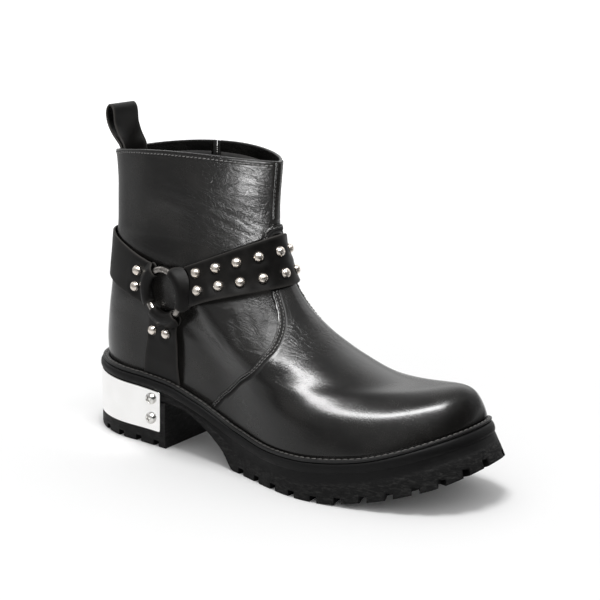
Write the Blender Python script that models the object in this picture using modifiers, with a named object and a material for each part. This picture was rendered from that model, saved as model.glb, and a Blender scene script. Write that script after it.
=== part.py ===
"""Harness ankle boot for the right foot: rubber platform sole, heel with a bent steel plate, leather
upper with a vamp overlay, a ring harness with domed studs, a pull loop and a zip on the inner side.

All sizes below are in millimetres. In the working frame x runs from the back of the heel to the toe,
y points to the wearer's left (the inner side of this right boot) and z points up from the floor.
The finished boot hangs from one empty that carries the origin to the middle of its footprint.
"""

import math

import bmesh
import bpy
import numpy as np
from mathutils import Matrix, Vector

MM = 0.001
FIT = 0.3  # clearance between touching pieces
LATERAL = -1.0
MEDIAL = 1.0

# Driving sizes of the sole
LENGTH = 304.0  # back of the heel to the front of the sole's lip
HEEL_LENGTH = 81.0  # back of the heel to its breast
HEEL_SEAT = 49.7  # top of the sole over the heel
HEEL_TOP = 34.0  # where the heel block meets the sole
PLATFORM = 25.5  # top of the sole under the ball
TOE_TOP_RISE = 25.3  # how far the top of the sole climbs from ball to toe
TOE_SPRING = 28.2  # how far the tread climbs from ball to toe
TOE_LEAN = 0.43  # how far the toe wall runs forward for each millimetre that it falls
LEAN_START = 240.0  # ahead of this x the wall begins to lean
TREAD_START = 145.0  # back edge of the forefoot tread
SPRING_START = 222.0  # where the tread leaves the floor
LIP = 6.8  # height of the rounded lip round the top of the sole

# Driving sizes of the upper and what is sewn to it
WALL = 2.2
COLLAR_BACK = 204.3
COLLAR_FRONT = 209.9
SIDE_RISE = 6.4  # how much higher the collar is at its sides
WELT_THICK, WELT_WIDTH = 2.2, 4.8
INSOLE_THICK = 3.0
OVERLAY = 1.2
STAY = 1.0
STRAP = 1.6

# One row for each girth line of the upper, from the sole to the collar: where it meets the back and
# the front of the boot, its half widths on both sides at rear, middle and fore stations, and the
# lengths over which its two ends round off
GIRTH_COLUMNS = (
    "back_x", "back_z", "front_x", "front_z",
    "rear_lat", "rear_med", "mid_lat", "mid_med", "fore_lat", "fore_med",
    "rear_round", "nose_round", "nose_power",
)
GIRTH_ROWS = (
    # feather line on the sole, top of the welt, toe bulge, toe top, toe cap, vamp
    (3.0, 51, 299, 50.5, 31.6, 31.6, 35.4, 29, 56.3, 38.0, 44, 92, 2.4),
    (2.6, 54, 299, 54.5, 31.6, 31.6, 35.4, 29, 56.3, 38.0, 44, 92, 2.4),
    (1.8, 67.5, 292.6, 74.3, 31.6, 31.6, 36.4, 31, 56.2, 37.5, 44, 113, 2.1),
    (2.7, 80.8, 278.5, 79.9, 31.6, 31.6, 36.4, 32, 54.1, 35.8, 44, 119, 1.6),
    (4.2, 94.2, 249.9, 76.4, 31.6, 31.6, 36.4, 33, 49.3, 33.4, 44, 94, 1.7),
    (6.4, 107.5, 207.2, 85.4, 32.0, 32.0, 34.4, 33, 46.8, 32.5, 44, 79, 2.2),
    # throat, instep, ankle, shaft, collar
    (8.0, 122, 175.1, 105.1, 31.0, 31.0, 32.9, 31.9, 43.7, 29.7, 46, 68, 2.0),
    (9.9, 138, 155.2, 131.2, 31.0, 31.0, 33.8, 32.9, 33.8, 32.9, 48, 62, 2.0),
    (11.0, 157, 147.7, 156.9, 28.3, 28.3, 30.8, 30.8, 30.0, 30.0, 50, 60, 1.9),
    (11.3, 180, 147.1, 177.5, 29.2, 29.2, 31.7, 31.7, 30.8, 30.8, 52, 60, 1.8),
    (9.3, COLLAR_BACK, 149.3, COLLAR_FRONT, 30.0, 30.0, 32.5, 32.5, 31.7, 31.7, 54, 62, 1.7),
)
GIRTH = dict(zip(GIRTH_COLUMNS, np.array(GIRTH_ROWS, float).T))
FEATHER, WELT_ROW, COLLAR_ROW = 0.0, 1.0, len(GIRTH_ROWS) - 1.0
FOLLOW_END = 6.0  # girth lines above this one no longer follow the curve of the sole
RISE_START = 7.0  # girth lines above this one rise towards the sides of the collar
STATIONS = (0.16, 0.42, 0.72)  # rear, middle and fore stations along a girth line
TOE_SWING, SWING_START = 21.7, 120.0  # the forefoot swings to the inner side ahead of this x

UPPER_COLUMNS = 44  # facets round the upper, and round sole, welt and insole
UPPER_ROWS = 20  # facets up the upper
COLUMN = 2.0 / UPPER_COLUMNS  # turn from one facet edge to the next
SOLE_STATIONS = UPPER_COLUMNS // 2 + 1
EDGE_SAMPLES = 400  # along the edge that the notches are spaced on
SHARP_ANGLE = math.radians(40)

SOLE_TOP = (
    # x, height of the top of the sole
    (0, HEEL_SEAT + 1), (40, HEEL_SEAT), (78, HEEL_SEAT - 1.8), (110, HEEL_SEAT - 9), (145, PLATFORM + 2.8),
    (178, PLATFORM - 1.2), (205, PLATFORM), (245, PLATFORM + 5.2), (LENGTH, PLATFORM + TOE_TOP_RISE),
)
SOLE_BOTTOM = (
    # x, height of the underside: heel seat, arch, tread on the floor, toe spring
    (0, HEEL_TOP), (HEEL_LENGTH, HEEL_TOP), (96, 33), (112, 27.5), (134, 12), (TREAD_START, 0),
    (SPRING_START, 0),
    (250, 0.16 * TOE_SPRING), (280, 0.55 * TOE_SPRING), (LENGTH, TOE_SPRING),
)
SOLE_LEVELS = (
    # fall below the top, or None for the underside, then how far outside the feather line it lies
    # at the heel and at the forefoot: lip, groove under it, wall, rounded lower edge
    (0.0, 5.0, 4.6), (1.6, 6.2, 5.4), (4.4, 6.4, 5.6), (6.0, 5.6, 5.2), (LIP, 4.2, 4.6), (None, 4.2, 6.3),
)

# Heel block and its steel plate
PLATE_FRONT = 76.0
PLATE_BOTTOM = 11.3
PLATE_THICK = 1.3
PLATE_STATIONS = 17  # on each side, from the back to the plate's front edge
PLATE_SEAT = 4.2  # the wall behind the plate, outside the feather line
HEEL_WALL = 5.6  # the rest of the heel's wall
SCREW_X = 67.5
SCREW_HEIGHTS = (20.5, 35.0)
SCREW_RADIUS, SCREW_HEIGHT = 4.2, 3.0

# Notches and grooves of the tread
NOTCH_PITCH, NOTCH_WIDTH, NOTCH_HEIGHT = 17.0, 5.0, 4.5
NOTCH_DEPTH = 14.0
HEEL_NOTCH_DEPTH = 10.0
GROOVE_WIDTH, GROOVE_SPAN = 3.5, 44.0

# Seam of the vamp in side view, from the welt to the top of its tongue
VAMP_SEAM = (
    (116, 39.2), (121.9, 44.4), (131.3, 52.7), (143, 63.3), (155.5, 74.2), (164.3, 82.6), (168.2, 88),
    (169.2, 93.4), (168.6, 98.8), (166.9, 104.6), (161.5, 112.9), (153.5, 124.4), (143.2, 150),
    (142.6, 157), (144.0, 162.6), (146.4, 166.2), (149, 167),
)
VAMP_TURNS = (8 * COLUMN, 36 * COLUMN)
VAMP_ROWS = (WELT_ROW, 8.5)
VAMP_LIFT = 1.6 * FIT  # clears the facets of the upper
FRONT_STAY_ROW = 8.62  # just above the tongue

# Harness: the ring and, for each strap, its heading from the ring in side view, its half widths at
# the ring and away from it, and the turn where it ends beside the zip
RING_X, RING_Z = 81.5, 115.0
RING_RADIUS, RING_WIRE = 17.0, 2.4
RING_LIFT = 5.6  # over the chord of the leather behind the ring
WRAP = RING_WIRE + 2 * FIT  # inner radius of a strap's loop round the ring
TAIL = 7.0  # how far a strap's turned end lies under it
RAMP = 8.0  # over this length a strap comes down from the ring to the leather
TAIL_LIFT = 2.4
RAMP_LIFT = 2.8
STRAP_FACETS = 5  # across a strap
ZIP_TURN = 1.532
FRONT_STRAP = {
    "heading": 20.8, "ring_half": 12.4, "near_half": 13.2, "far_half": 18.7,
    "far_turn": 1.0, "end_turn": 1.455,
    "lift": ((0, RAMP_LIFT), (0.88, RAMP_LIFT), (0.97, 1.0), (1, 1.0)),
}
REAR_STRAP = {
    "heading": 166.9, "ring_half": 12.0, "near_half": 16.0, "far_half": 16.0,
    "far_turn": 0.0, "end_turn": -0.395,
    "lift": ((0, RAMP_LIFT), (0.2, 1.0), (0.32, 1.0), (0.42, 1.9), (0.56, 1.9), (0.66, 1.0), (1, 1.0)),
}
DOWN_STRAP = {
    "heading": -90.0, "ring_half": 10.9, "back_half": (15.5, 24.0), "front_half": 10.5,
    "lift": ((0, RAMP_LIFT), (0.6, RAMP_LIFT), (1, 1.0)),
}

# Domed studs and rivets
STUD_RADIUS, STUD_HEIGHT = 3.5, 2.9
STUD_PITCH = 14.5
STUD_COUNT = 9
STUD_START = 0.606
STUD_TOP = 6.8
STUD_LOW = ((STUD_START, -5.6), (1.0, -9.0), (1.455, -5.6))
RIVET_REACH = 28.6  # from the ring's centre along the strap
RIVET_OFFSETS = {"rear": (-5.8, 7.0), "down": (-12.0, 1.5)}  # across the strap

# Pull loop: the inner faces of its two legs in side view, front leg up and back leg down
LOOP_HALF = 13.0
LOOP_THICK = 1.6
LOOP_ROOT = 187.0
LOOP_LEGS = (
    (16.6, LOOP_ROOT), (15.0, 206.0), (13.9, 213.0), (12.8, 222.0), (12.3, 230.0), (11.4, 234.0),
    (9.4, 235.8),
    (7.5, 234.0), (6.7, 230.0), (8.8, 220.0), (11.9, 213.0), (14.5, 206.0), (16.1, LOOP_ROOT),
)
LOOP_BOW = ((LOOP_ROOT, 6.8), (207.0, 6.8), (217.0, 2.4), (226.0, 0.0), (240.0, 0.0))

# Zip
ZIP_BOTTOM_ROW, ZIP_TOP_ROW = 3.7, 9.86
ZIP_END_GAP = 0.04  # in rows, under the chain
ZIP_FACETS = 16  # along the zip
SLIT_HALF = 3.5
CHAIN_THICK, CHAIN_PROUD = 2.0, 0.1
SLIDER_ROW = 9.5
SLIDER_SIZE = (9.0, 12.0, 2.6)
BRIDGE_HALF = 1.1
BRIDGE_OUTLINE = (
    # along the zip, away from the boot
    (-3.2, 2.2), (-2.0, 2.2), (-2.0, 4.8), (3.6, 4.8), (3.6, 2.2), (4.8, 2.2), (4.8, 6.0), (-3.2, 6.0),
)
PULL_AXIS = (-0.9, 3.7)  # along the zip and away from the boot, from the slider's foot
PULL_SIZE = (6.8, 24.0, 1.2)
PULL_BAR = 0.6  # half the bar that turns under the bridge
PULL_WINDOW = (4.4, 6.2)

# Colour, roughness and metallic value of each finish
FINISHES = {
    "leather": ((0.010, 0.010, 0.011), 0.28, 0.0),
    "strap_leather": ((0.014, 0.013, 0.013), 0.5, 0.0),
    "rubber": ((0.018, 0.018, 0.019), 0.62, 0.0),
    "insole_leather": ((0.03, 0.028, 0.026), 0.7, 0.0),
    "steel": ((0.78, 0.78, 0.77), 0.16, 1.0),
    "nickel": ((0.72, 0.69, 0.64), 0.2, 1.0),
}


def smooth(xs, ys, x):
    """Monotone cubic through the points (xs, ys), read at x."""
    xs, ys = np.asarray(xs, float), np.asarray(ys, float)
    step = np.diff(xs)
    slope = np.diff(ys) / step
    before, after = slope[:-1], slope[1:]
    same_way = before * after > 0
    inner = np.where(same_way, 2 * before * after / np.where(same_way, before + after, 1.0), 0.0)
    tangent = np.concatenate([[slope[0]], inner, [slope[-1]]])
    x = np.asarray(x, float)
    i = np.clip(np.searchsorted(xs, x, side="right") - 1, 0, len(step) - 1)
    t = (x - xs[i]) / step[i]
    a, b = (1 + 2 * t) * (1 - t) ** 2, t * t * (3 - 2 * t)
    c, d = t * (1 - t) ** 2, t * t * (t - 1)
    return a * ys[i] + b * ys[i + 1] + step[i] * (c * tangent[i] + d * tangent[i + 1])


def read(table, x):
    """Value at x of a table of pairs."""
    return smooth(*zip(*table), x)


def ease(a, b, x):
    """0 before a, 1 after b, smooth between."""
    t = np.clip((np.asarray(x, float) - a) / (b - a), 0, 1)
    return t * t * (3 - 2 * t)


def mix(a, b, t):
    return a + (b - a) * t


def sole_top(x):
    return read(SOLE_TOP, x)


def sole_bottom(x):
    return read(SOLE_BOTTOM, x)


def centre_line(x):
    """How far the middle of the foot lies to the inner side at x."""
    return TOE_SWING * np.clip((x - SWING_START) / (LENGTH - SWING_START), 0, 1) ** 2


def lean_forward(points):
    """Carry points of the sole's wall forward at the toe, by how far they lie under its top."""
    fall = sole_top(points[..., 0]) - points[..., 2]
    points[..., 0] += TOE_LEAN * ease(LEAN_START, LENGTH, points[..., 0]) * fall
    return points


def stations(rear, middle, fore, s):
    """Half width at s between the stations of a girth line."""
    a, b = ease(STATIONS[0], STATIONS[1], s), ease(STATIONS[1], STATIONS[2], s)
    return rear + (middle - rear) * a + (fore - middle) * b


def girth_values(row):
    return {name: smooth(np.arange(len(column)), column, row) for name, column in GIRTH.items()}


def girth_point(row, along, side):
    """Point of the upper's outer face: row counts girth lines, along runs 0 at the back to 1 in front."""
    value = girth_values(row)
    ends = (1 - np.cos(np.pi * np.asarray(along, float))) / 2
    span = value["front_x"] - value["back_x"]
    x = value["back_x"] + ends * span
    half = np.where(
        np.asarray(side) < 0,
        stations(value["rear_lat"], value["mid_lat"], value["fore_lat"], ends),
        stations(value["rear_med"], value["mid_med"], value["fore_med"], ends),
    )
    back = 1 - np.clip(ends * span / value["rear_round"], 0, 1)
    nose = 1 - np.clip((1 - ends) * span / value["nose_round"], 0, 1)
    power = value["nose_power"]
    width = half * np.sqrt(1 - back**2) * np.clip(1 - nose**power, 0, 1) ** (1 / power)
    plane = value["back_z"] + (value["front_z"] - value["back_z"]) * ends
    first = GIRTH["back_z"][0] + (GIRTH["front_z"][0] - GIRTH["back_z"][0]) * ends
    follow = 1 - ease(WELT_ROW, FOLLOW_END, row)
    rise = SIDE_RISE * ease(RISE_START, COLLAR_ROW, row) * np.sin(np.pi * ends) ** 0.7
    z = plane + follow * (sole_top(x) + FIT - first) + rise
    return np.stack(np.broadcast_arrays(x, side * width + centre_line(x), z), -1)


def skin_point(turn, row):
    """Point of the upper's outer face: turn 0 is the back, 1 the front past the outer side, 2 the back."""
    turn = np.asarray(turn, float) % 2
    return girth_point(row, np.where(turn < 1, turn, 2 - turn), np.where(turn < 1, LATERAL, MEDIAL))


def unit(vectors):
    return vectors / np.linalg.norm(vectors, axis=-1, keepdims=True)


def skin_frame(turn, row):
    """Point, outward normal, upward tangent and sideways tangent of the upper's outer face."""
    step = 1e-3
    around = skin_point(turn + step, row) - skin_point(turn - step, row)
    rising = skin_point(turn, row + step) - skin_point(turn, row - step)
    normal = unit(np.cross(around, rising))
    up = unit(rising)
    return skin_point(turn, row), normal, up, np.cross(up, normal)


def skin(turn, row, lift):
    point, normal, _, _ = skin_frame(turn, row)
    return point + normal * np.asarray(lift, float)[..., None]


def along_at(x, row):
    """Where a girth line passes x, from 0 at the back to 1 in front."""
    value = girth_values(row)
    share = np.clip((x - value["back_x"]) / (value["front_x"] - value["back_x"]), 0, 1)
    return np.arccos(1 - 2 * share) / np.pi


def solve_row(height, low=FEATHER, high=COLLAR_ROW):
    """Row at which height(row), which rises with row, passes 0."""
    low, high = low + 0 * height(low), high + 0 * height(high)
    for _ in range(40):
        middle = (low + high) / 2
        above = height(middle) > 0
        low, high = np.where(above, low, middle), np.where(above, middle, high)
    return (low + high) / 2


def side_point(x, z):
    """Point of the outer side at x and z, with its turn and row."""
    row = solve_row(lambda r: girth_point(r, along_at(x, r), LATERAL)[..., 2] - z)
    along = along_at(x, row)
    return girth_point(row, along, LATERAL), along, row


def outline(row, margin, along, side):
    """A girth line moved outwards in plan by margin."""
    step = 1e-3
    line = girth_point(row, along, side)
    after = girth_point(row, np.clip(along + step, 0, 1), side)
    before = girth_point(row, np.clip(along - step, 0, 1), side)
    tangent = after - before
    normal = side * unit(np.stack([-tangent[..., 1], tangent[..., 0]], -1))
    line[..., :2] += normal * np.asarray(margin, float)[..., None]
    return line


def outline_pair(row, margin, along, closed=True):
    """Both sides of a moved girth line from back to front, joined at the back and, if closed, in front."""
    pair = np.stack([outline(row, margin, along, side) for side in (LATERAL, MEDIAL)])
    pair[:, 0] = pair[:, 0].mean(0)
    if closed:
        pair[:, -1] = pair[:, -1].mean(0)
    return pair


def new_collection(name):
    collection = bpy.data.collections.new(name)
    bpy.context.scene.collection.children.link(collection)
    return collection


def new_object(name, mesh, finish):
    """Object for a mesh, hung from the boot's origin; finish None makes a cutter."""
    obj = bpy.data.objects.new(name, mesh)
    (cutters if finish is None else parts).objects.link(obj)
    obj.parent = origin
    if finish is None:
        obj.hide_render = True
        obj.display_type = "WIRE"
        return obj
    colour, roughness, metallic = FINISHES[finish]
    material = bpy.data.materials.new(name)
    material.use_nodes = True
    shader = material.node_tree.nodes["Principled BSDF"]
    shader.inputs["Base Color"].default_value = (*colour, 1)
    shader.inputs["Roughness"].default_value = roughness
    shader.inputs["Metallic"].default_value = metallic
    mesh.materials.append(material)
    return obj


def from_bmesh(name, bm, finish):
    mesh = bpy.data.meshes.new(name)
    bm.to_mesh(mesh)
    bm.free()
    if finish is not None:
        mesh.shade_smooth()
        mesh.set_sharp_from_angle(angle=SHARP_ANGLE)
    return new_object(name, mesh, finish)


def sheet(name, columns, rows, place, finish):
    """Open surface: a grid whose points are moved to place(u, v), with u and v from 0 to 1."""
    bm = bmesh.new()
    bmesh.ops.create_grid(bm, x_segments=columns, y_segments=rows, size=0.5)
    flat = np.array([vert.co for vert in bm.verts]) + 0.5
    for vert, point in zip(bm.verts, place(flat[:, 0], flat[:, 1])):
        vert.co = Vector(point) * MM
    bmesh.ops.remove_doubles(bm, verts=bm.verts, dist=1e-6)
    return from_bmesh(name, bm, finish)


def thicken(obj, thickness, offset):
    """Give a sheet its thickness: offset 1 outwards, -1 inwards, 0 both ways."""
    modifier = obj.modifiers.new("thickness", "SOLIDIFY")
    modifier.thickness = thickness * MM
    modifier.offset = offset
    modifier.use_even_offset = True
    return obj


def combine(obj, other, operation):
    modifier = obj.modifiers.new(operation.lower(), "BOOLEAN")
    modifier.operation = operation
    modifier.solver = "EXACT"
    modifier.object = other
    return obj


def loft(name, levels, finish):
    """Solid between stacked outlines, each a pair of sides that run from back to front."""
    rings = np.array(levels, float)
    level_count, _, count, _ = rings.shape
    loops = np.concatenate([rings[:, 0], rings[:, 1, ::-1]], 1)
    size = 2 * count
    faces = [
        (k * size + i, k * size + (i + 1) % size, (k + 1) * size + (i + 1) % size, (k + 1) * size + i)
        for k in range(level_count - 1) for i in range(size)
    ]
    for first in (0, (level_count - 1) * size):
        last = first + size - 1
        faces += [(first + i, first + i + 1, last - 1 - i, last - i) for i in range(count - 1)]
    mesh = bpy.data.meshes.new(name)
    mesh.from_pydata((loops.reshape(-1, 3) * MM).tolist(), [], faces)
    bm = bmesh.new()
    bm.from_mesh(mesh)
    bpy.data.meshes.remove(mesh)
    bmesh.ops.remove_doubles(bm, verts=bm.verts, dist=1e-6)
    bmesh.ops.recalc_face_normals(bm, faces=bm.faces)
    return from_bmesh(name, bm, finish)


def prism(name, outline_points, depth, axes, finish):
    """Flat outline of pairs carried through depth; axes are its two directions and the depth's."""
    bm = bmesh.new()
    first, second, through = (Vector(axis) for axis in axes)
    face = bm.faces.new(
        bm.verts.new((first * a + second * b - through * depth / 2) * MM) for a, b in outline_points
    )
    grown = bmesh.ops.extrude_face_region(bm, geom=[face])
    moved = [item for item in grown["geom"] if isinstance(item, bmesh.types.BMVert)]
    bmesh.ops.translate(bm, verts=moved, vec=through * depth * MM)
    bmesh.ops.recalc_face_normals(bm, faces=bm.faces)
    return from_bmesh(name, bm, finish)


def boxes(name, places):
    """One cutter of many boxes, each a pair of its size and the matrix that places it."""
    bm = bmesh.new()
    for size, matrix in places:
        scale = Matrix.Diagonal((*(side * MM for side in size), 1))
        bmesh.ops.create_cube(bm, size=1, matrix=matrix @ scale)
    return from_bmesh(name, bm, None)


def frame_matrix(point, x_axis, y_axis, z_axis):
    """Matrix of a piece at a point in millimetres with the given unit axes."""
    matrix = Matrix((x_axis, y_axis, z_axis)).transposed().to_4x4()
    matrix.translation = Vector(point) * MM
    return matrix


def plan_matrix(point, tangent):
    """Matrix of a piece that stands upright at a point with its y along a direction in plan."""
    along = Vector((tangent[0], tangent[1], 0)).normalized()
    return frame_matrix(point, along.cross(Vector((0, 0, 1))), along, Vector((0, 0, 1)))


def dome(name, radius, height, point, normal, finish):
    """Domed head turned about its axis, standing on a point along a normal."""
    steps = 3
    mesh = bpy.data.meshes.new(name)
    angles = [math.pi / 2 * (1 - i / steps) for i in range(steps + 1)]
    profile = [(radius * math.cos(a) * MM, 0, height * math.sin(a) * MM) for a in angles] + [(0, 0, 0)]
    mesh.from_pydata(profile, [(i, i + 1) for i in range(len(profile) - 1)], [])
    obj = new_object(name, mesh, finish)
    turned = obj.modifiers.new("turned", "SCREW")
    turned.steps = turned.render_steps = 8
    turned.use_merge_vertices = True
    turned.merge_threshold = 1e-5
    obj.location = Vector(point) * MM
    obj.rotation_euler = Vector(normal).to_track_quat("Z", "Y").to_euler()
    return obj


def make_outsole():
    along = np.linspace(0, 1, SOLE_STATIONS)
    levels = []
    for fall, at_heel, at_forefoot in SOLE_LEVELS:
        x = girth_point(FEATHER, along, LATERAL)[:, 0]
        pair = outline_pair(FEATHER, mix(at_heel, at_forefoot, ease(HEEL_LENGTH, TREAD_START, x)), along)
        pair[..., 2] = sole_bottom(pair[..., 0]) if fall is None else sole_top(pair[..., 0]) - fall
        levels.append(lean_forward(pair))
    outsole = loft("outsole", levels, "rubber")
    edge = np.linspace(0, 1, EDGE_SAMPLES)
    places = []
    for side in (LATERAL, MEDIAL):
        line = outline(FEATHER, SOLE_LEVELS[-1][2], edge, side)
        line[:, 2] = sole_bottom(line[:, 0])
        line = lean_forward(line)
        travelled = np.concatenate([[0], np.cumsum(np.linalg.norm(np.diff(line[:, :2], axis=0), axis=1))])
        begin = np.interp(TREAD_START + NOTCH_PITCH / 2, line[:, 0], travelled)
        for distance in np.arange(begin, travelled[-1] - NOTCH_WIDTH, NOTCH_PITCH):
            point = [np.interp(distance, travelled, line[:, k]) for k in range(3)]
            ahead = [np.interp(distance + 1, travelled, line[:, k]) for k in range(2)]
            places.append((
                (2 * NOTCH_DEPTH, NOTCH_WIDTH, 2 * NOTCH_HEIGHT),
                plan_matrix(point, (ahead[0] - point[0], ahead[1] - point[1])),
            ))
    for x in np.arange(TREAD_START + NOTCH_PITCH, SPRING_START + NOTCH_PITCH, NOTCH_PITCH):
        point = (x, float(centre_line(x)), float(sole_bottom(x)))
        places.append(((GROOVE_SPAN, GROOVE_WIDTH, 2 * NOTCH_HEIGHT), plan_matrix(point, (1, 0))))
    combine(outsole, boxes("tread_cutter", places), "DIFFERENCE")


def make_heel():
    front = float(along_at(HEEL_LENGTH, FEATHER))
    plate_end = float(along_at(PLATE_FRONT, FEATHER))
    plate_step = 0.002  # share of the outline over which the wall steps out ahead of the plate
    ahead_of_plate = np.linspace(plate_end + plate_step, front, 3)
    along = np.concatenate([np.linspace(0, plate_end, PLATE_STATIONS), ahead_of_plate])
    behind_plate = np.where(along > plate_end + plate_step / 2, HEEL_WALL, PLATE_SEAT)
    full = np.full_like(along, HEEL_WALL)
    shelf = PLATE_BOTTOM - FIT
    levels = []
    top = HEEL_TOP - 2 * FIT
    for margin, height in ((behind_plate, top), (behind_plate, shelf), (full, shelf), (full, 0.0)):
        pair = outline_pair(FEATHER, margin, along, closed=False)
        pair[..., 0] = np.minimum(pair[..., 0], HEEL_LENGTH)
        pair[..., 2] = height
        levels.append(pair)
    heel = loft("heel", levels, "rubber")
    edge = np.linspace(0, front, EDGE_SAMPLES)
    places = []
    for side in (LATERAL, MEDIAL):
        line = outline(FEATHER, HEEL_WALL, edge, side)
        travelled = np.concatenate([[0], np.cumsum(np.linalg.norm(np.diff(line[:, :2], axis=0), axis=1))])
        for distance in np.arange(NOTCH_PITCH / 2, travelled[-1] - NOTCH_WIDTH, NOTCH_PITCH):
            point = [np.interp(distance, travelled, line[:, k]) for k in range(2)]
            ahead = [np.interp(distance + 1, travelled, line[:, k]) for k in range(2)]
            places.append((
                (2 * HEEL_NOTCH_DEPTH, NOTCH_WIDTH, 2 * NOTCH_HEIGHT),
                plan_matrix((*point, 0), (ahead[0] - point[0], ahead[1] - point[1])),
            ))
    combine(heel, boxes("heel_cutter", places), "DIFFERENCE")


def make_heel_plate():
    end = float(along_at(PLATE_FRONT, FEATHER))

    def place(u, v):
        turn = mix(end, -end, u)
        line = np.where(
            (turn > 0)[:, None],
            outline(FEATHER, PLATE_SEAT + FIT, np.abs(turn), LATERAL),
            outline(FEATHER, PLATE_SEAT + FIT, np.abs(turn), MEDIAL),
        )
        top = sole_top(line[:, 0]) - LIP - FIT
        line[:, 2] = mix(PLATE_BOTTOM, top, v)
        return line

    thicken(sheet("heel_plate", 2 * (PLATE_STATIONS - 1), 1, place, "steel"), PLATE_THICK, -1)
    number = 0
    for side in (LATERAL, MEDIAL):
        along = float(along_at(SCREW_X, FEATHER))
        point = outline(FEATHER, PLATE_SEAT + FIT + PLATE_THICK + FIT, np.array(along), side)
        normal = point - outline(FEATHER, 0.0, np.array(along), side)
        for height in SCREW_HEIGHTS:
            number += 1
            seat = (point[0], point[1], height)
            dome(f"heel_screw_{number}", SCREW_RADIUS, SCREW_HEIGHT, seat, (normal[0], normal[1], 0), "steel")


def make_welt():
    across = ((FIT, 0.0), (WELT_WIDTH, 0.0), (WELT_WIDTH, WELT_THICK), (2 * FIT, WELT_THICK))

    def place(u, v):
        turn = 2 * u
        along = np.where(turn < 1, turn, 2 - turn)
        corner = np.rint(v * len(across)).astype(int) % len(across)
        margin = np.array([item[0] for item in across])[corner]
        rise = np.array([item[1] for item in across])[corner]
        line = np.where(
            (turn < 1)[:, None],
            outline(FEATHER, margin, along, LATERAL),
            outline(FEATHER, margin, along, MEDIAL),
        )
        line[:, 2] = sole_top(line[:, 0]) + FIT + rise
        return line

    welt = sheet("welt", UPPER_COLUMNS, len(across), place, "rubber")
    bm = bmesh.new()
    bm.from_mesh(welt.data)
    bmesh.ops.remove_doubles(bm, verts=bm.verts, dist=2e-4)
    bmesh.ops.recalc_face_normals(bm, faces=bm.faces)
    bm.to_mesh(welt.data)
    bm.free()


def make_insole():
    along = np.linspace(0, 1, SOLE_STATIONS)
    levels = []
    for rise in (FIT, FIT + INSOLE_THICK):
        pair = outline_pair(FEATHER, -WALL - 3 * FIT, along)
        pair[..., 2] = sole_top(pair[..., 0]) + rise
        levels.append(pair)
    loft("insole", levels, "insole_leather")


def make_upper():
    upper = sheet(
        "upper", UPPER_COLUMNS, UPPER_ROWS, lambda u, v: skin_point(2 * u, COLLAR_ROW * v), "leather"
    )
    thicken(upper, WALL, -1)
    slit = zip_ribbon("zip_slit", SLIT_HALF, 0.0, ZIP_BOTTOM_ROW, COLLAR_ROW + 0.5, None)
    thicken(slit, 6 * WALL, 0)
    combine(upper, slit, "DIFFERENCE")


def zip_ribbon(name, half, lift, bottom_row, top_row, finish):
    """Ribbon along the zip's line, at a lift from the leather's outer face."""

    def place(u, v):
        point, normal, _, sideways = skin_frame(ZIP_TURN, mix(bottom_row, top_row, v))
        return point + normal * lift + sideways * (half * (2 * u - 1))[:, None]

    return sheet(name, 1, ZIP_FACETS, place, finish)


def make_vamp():
    def place(u, v):
        return skin(mix(*VAMP_TURNS, u), mix(*VAMP_ROWS, v), np.full_like(u, VAMP_LIFT))

    columns = round((VAMP_TURNS[1] - VAMP_TURNS[0]) / COLUMN)
    rows = round((VAMP_ROWS[1] - VAMP_ROWS[0]) / COLLAR_ROW * UPPER_ROWS)
    vamp = thicken(sheet("vamp", columns, rows, place, "leather"), OVERLAY, 1)
    far = 2 * LENGTH
    # down to the floor, so that the overlay's first row, on top of the welt, is its lower edge
    region = VAMP_SEAM + ((far, VAMP_SEAM[-1][1]), (far, 0), (VAMP_SEAM[0][0], 0))
    side_view = ((1, 0, 0), (0, 0, 1), (0, 1, 0))
    combine(vamp, prism("vamp_region", region, far, side_view, None), "INTERSECT")


def make_stays():
    def strip(name, middle, bottom_row, rows):
        def place(u, v):
            return skin(middle + COLUMN * (2 * u - 1), mix(bottom_row, COLLAR_ROW, v), np.full_like(u, FIT))

        thicken(sheet(name, 2, rows, place, "leather"), STAY, 1)

    strip("front_stay", 1.0, FRONT_STAY_ROW, 3)
    strip("back_stay", 0.0, WELT_ROW, UPPER_ROWS - 2)


def heading_axes(strap):
    angle = math.radians(strap["heading"])
    return np.array([math.cos(angle), math.sin(angle)]), np.array([-math.sin(angle), math.cos(angle)])


def ring_plane(x):
    """Distance y of the ring's plane at x: it leans with the leather behind the ring."""
    ends = RING_X + RING_RADIUS * np.array((-1, 1))
    wall = side_point(ends, np.full(2, RING_Z))[0][:, 1]
    lean = (wall[1] - wall[0]) / (2 * RING_RADIUS)
    return wall.mean() - RING_LIFT + lean * (x - RING_X), lean


def strap_root(strap, reach, w, near, height, lift, settle):
    """Points of a strap near the ring: reach from the ring's centre, w across from -1 to 1.

    They lie at a height off the ring's plane close to it, and at a lift off the leather where they
    have settled. near holds the half widths away from the ring for w below and above 0.
    """
    ahead, across = heading_axes(strap)
    spread = np.where(w < 0, near[0], near[1])
    at_ring = reach * w * strap["ring_half"] / RING_RADIUS
    b = mix(at_ring, w * spread, ease(RING_RADIUS + WRAP, RING_RADIUS + RAMP, reach))
    a = np.sqrt(reach**2 - b**2)
    x = RING_X + a * ahead[0] + b * across[0]
    z = RING_Z + a * ahead[1] + b * across[1]
    wall, turn, _ = side_point(x, z)
    y = mix(ring_plane(x)[0] - height, wall[..., 1] - lift, settle)
    return np.stack([x, y, z], -1), turn


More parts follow.
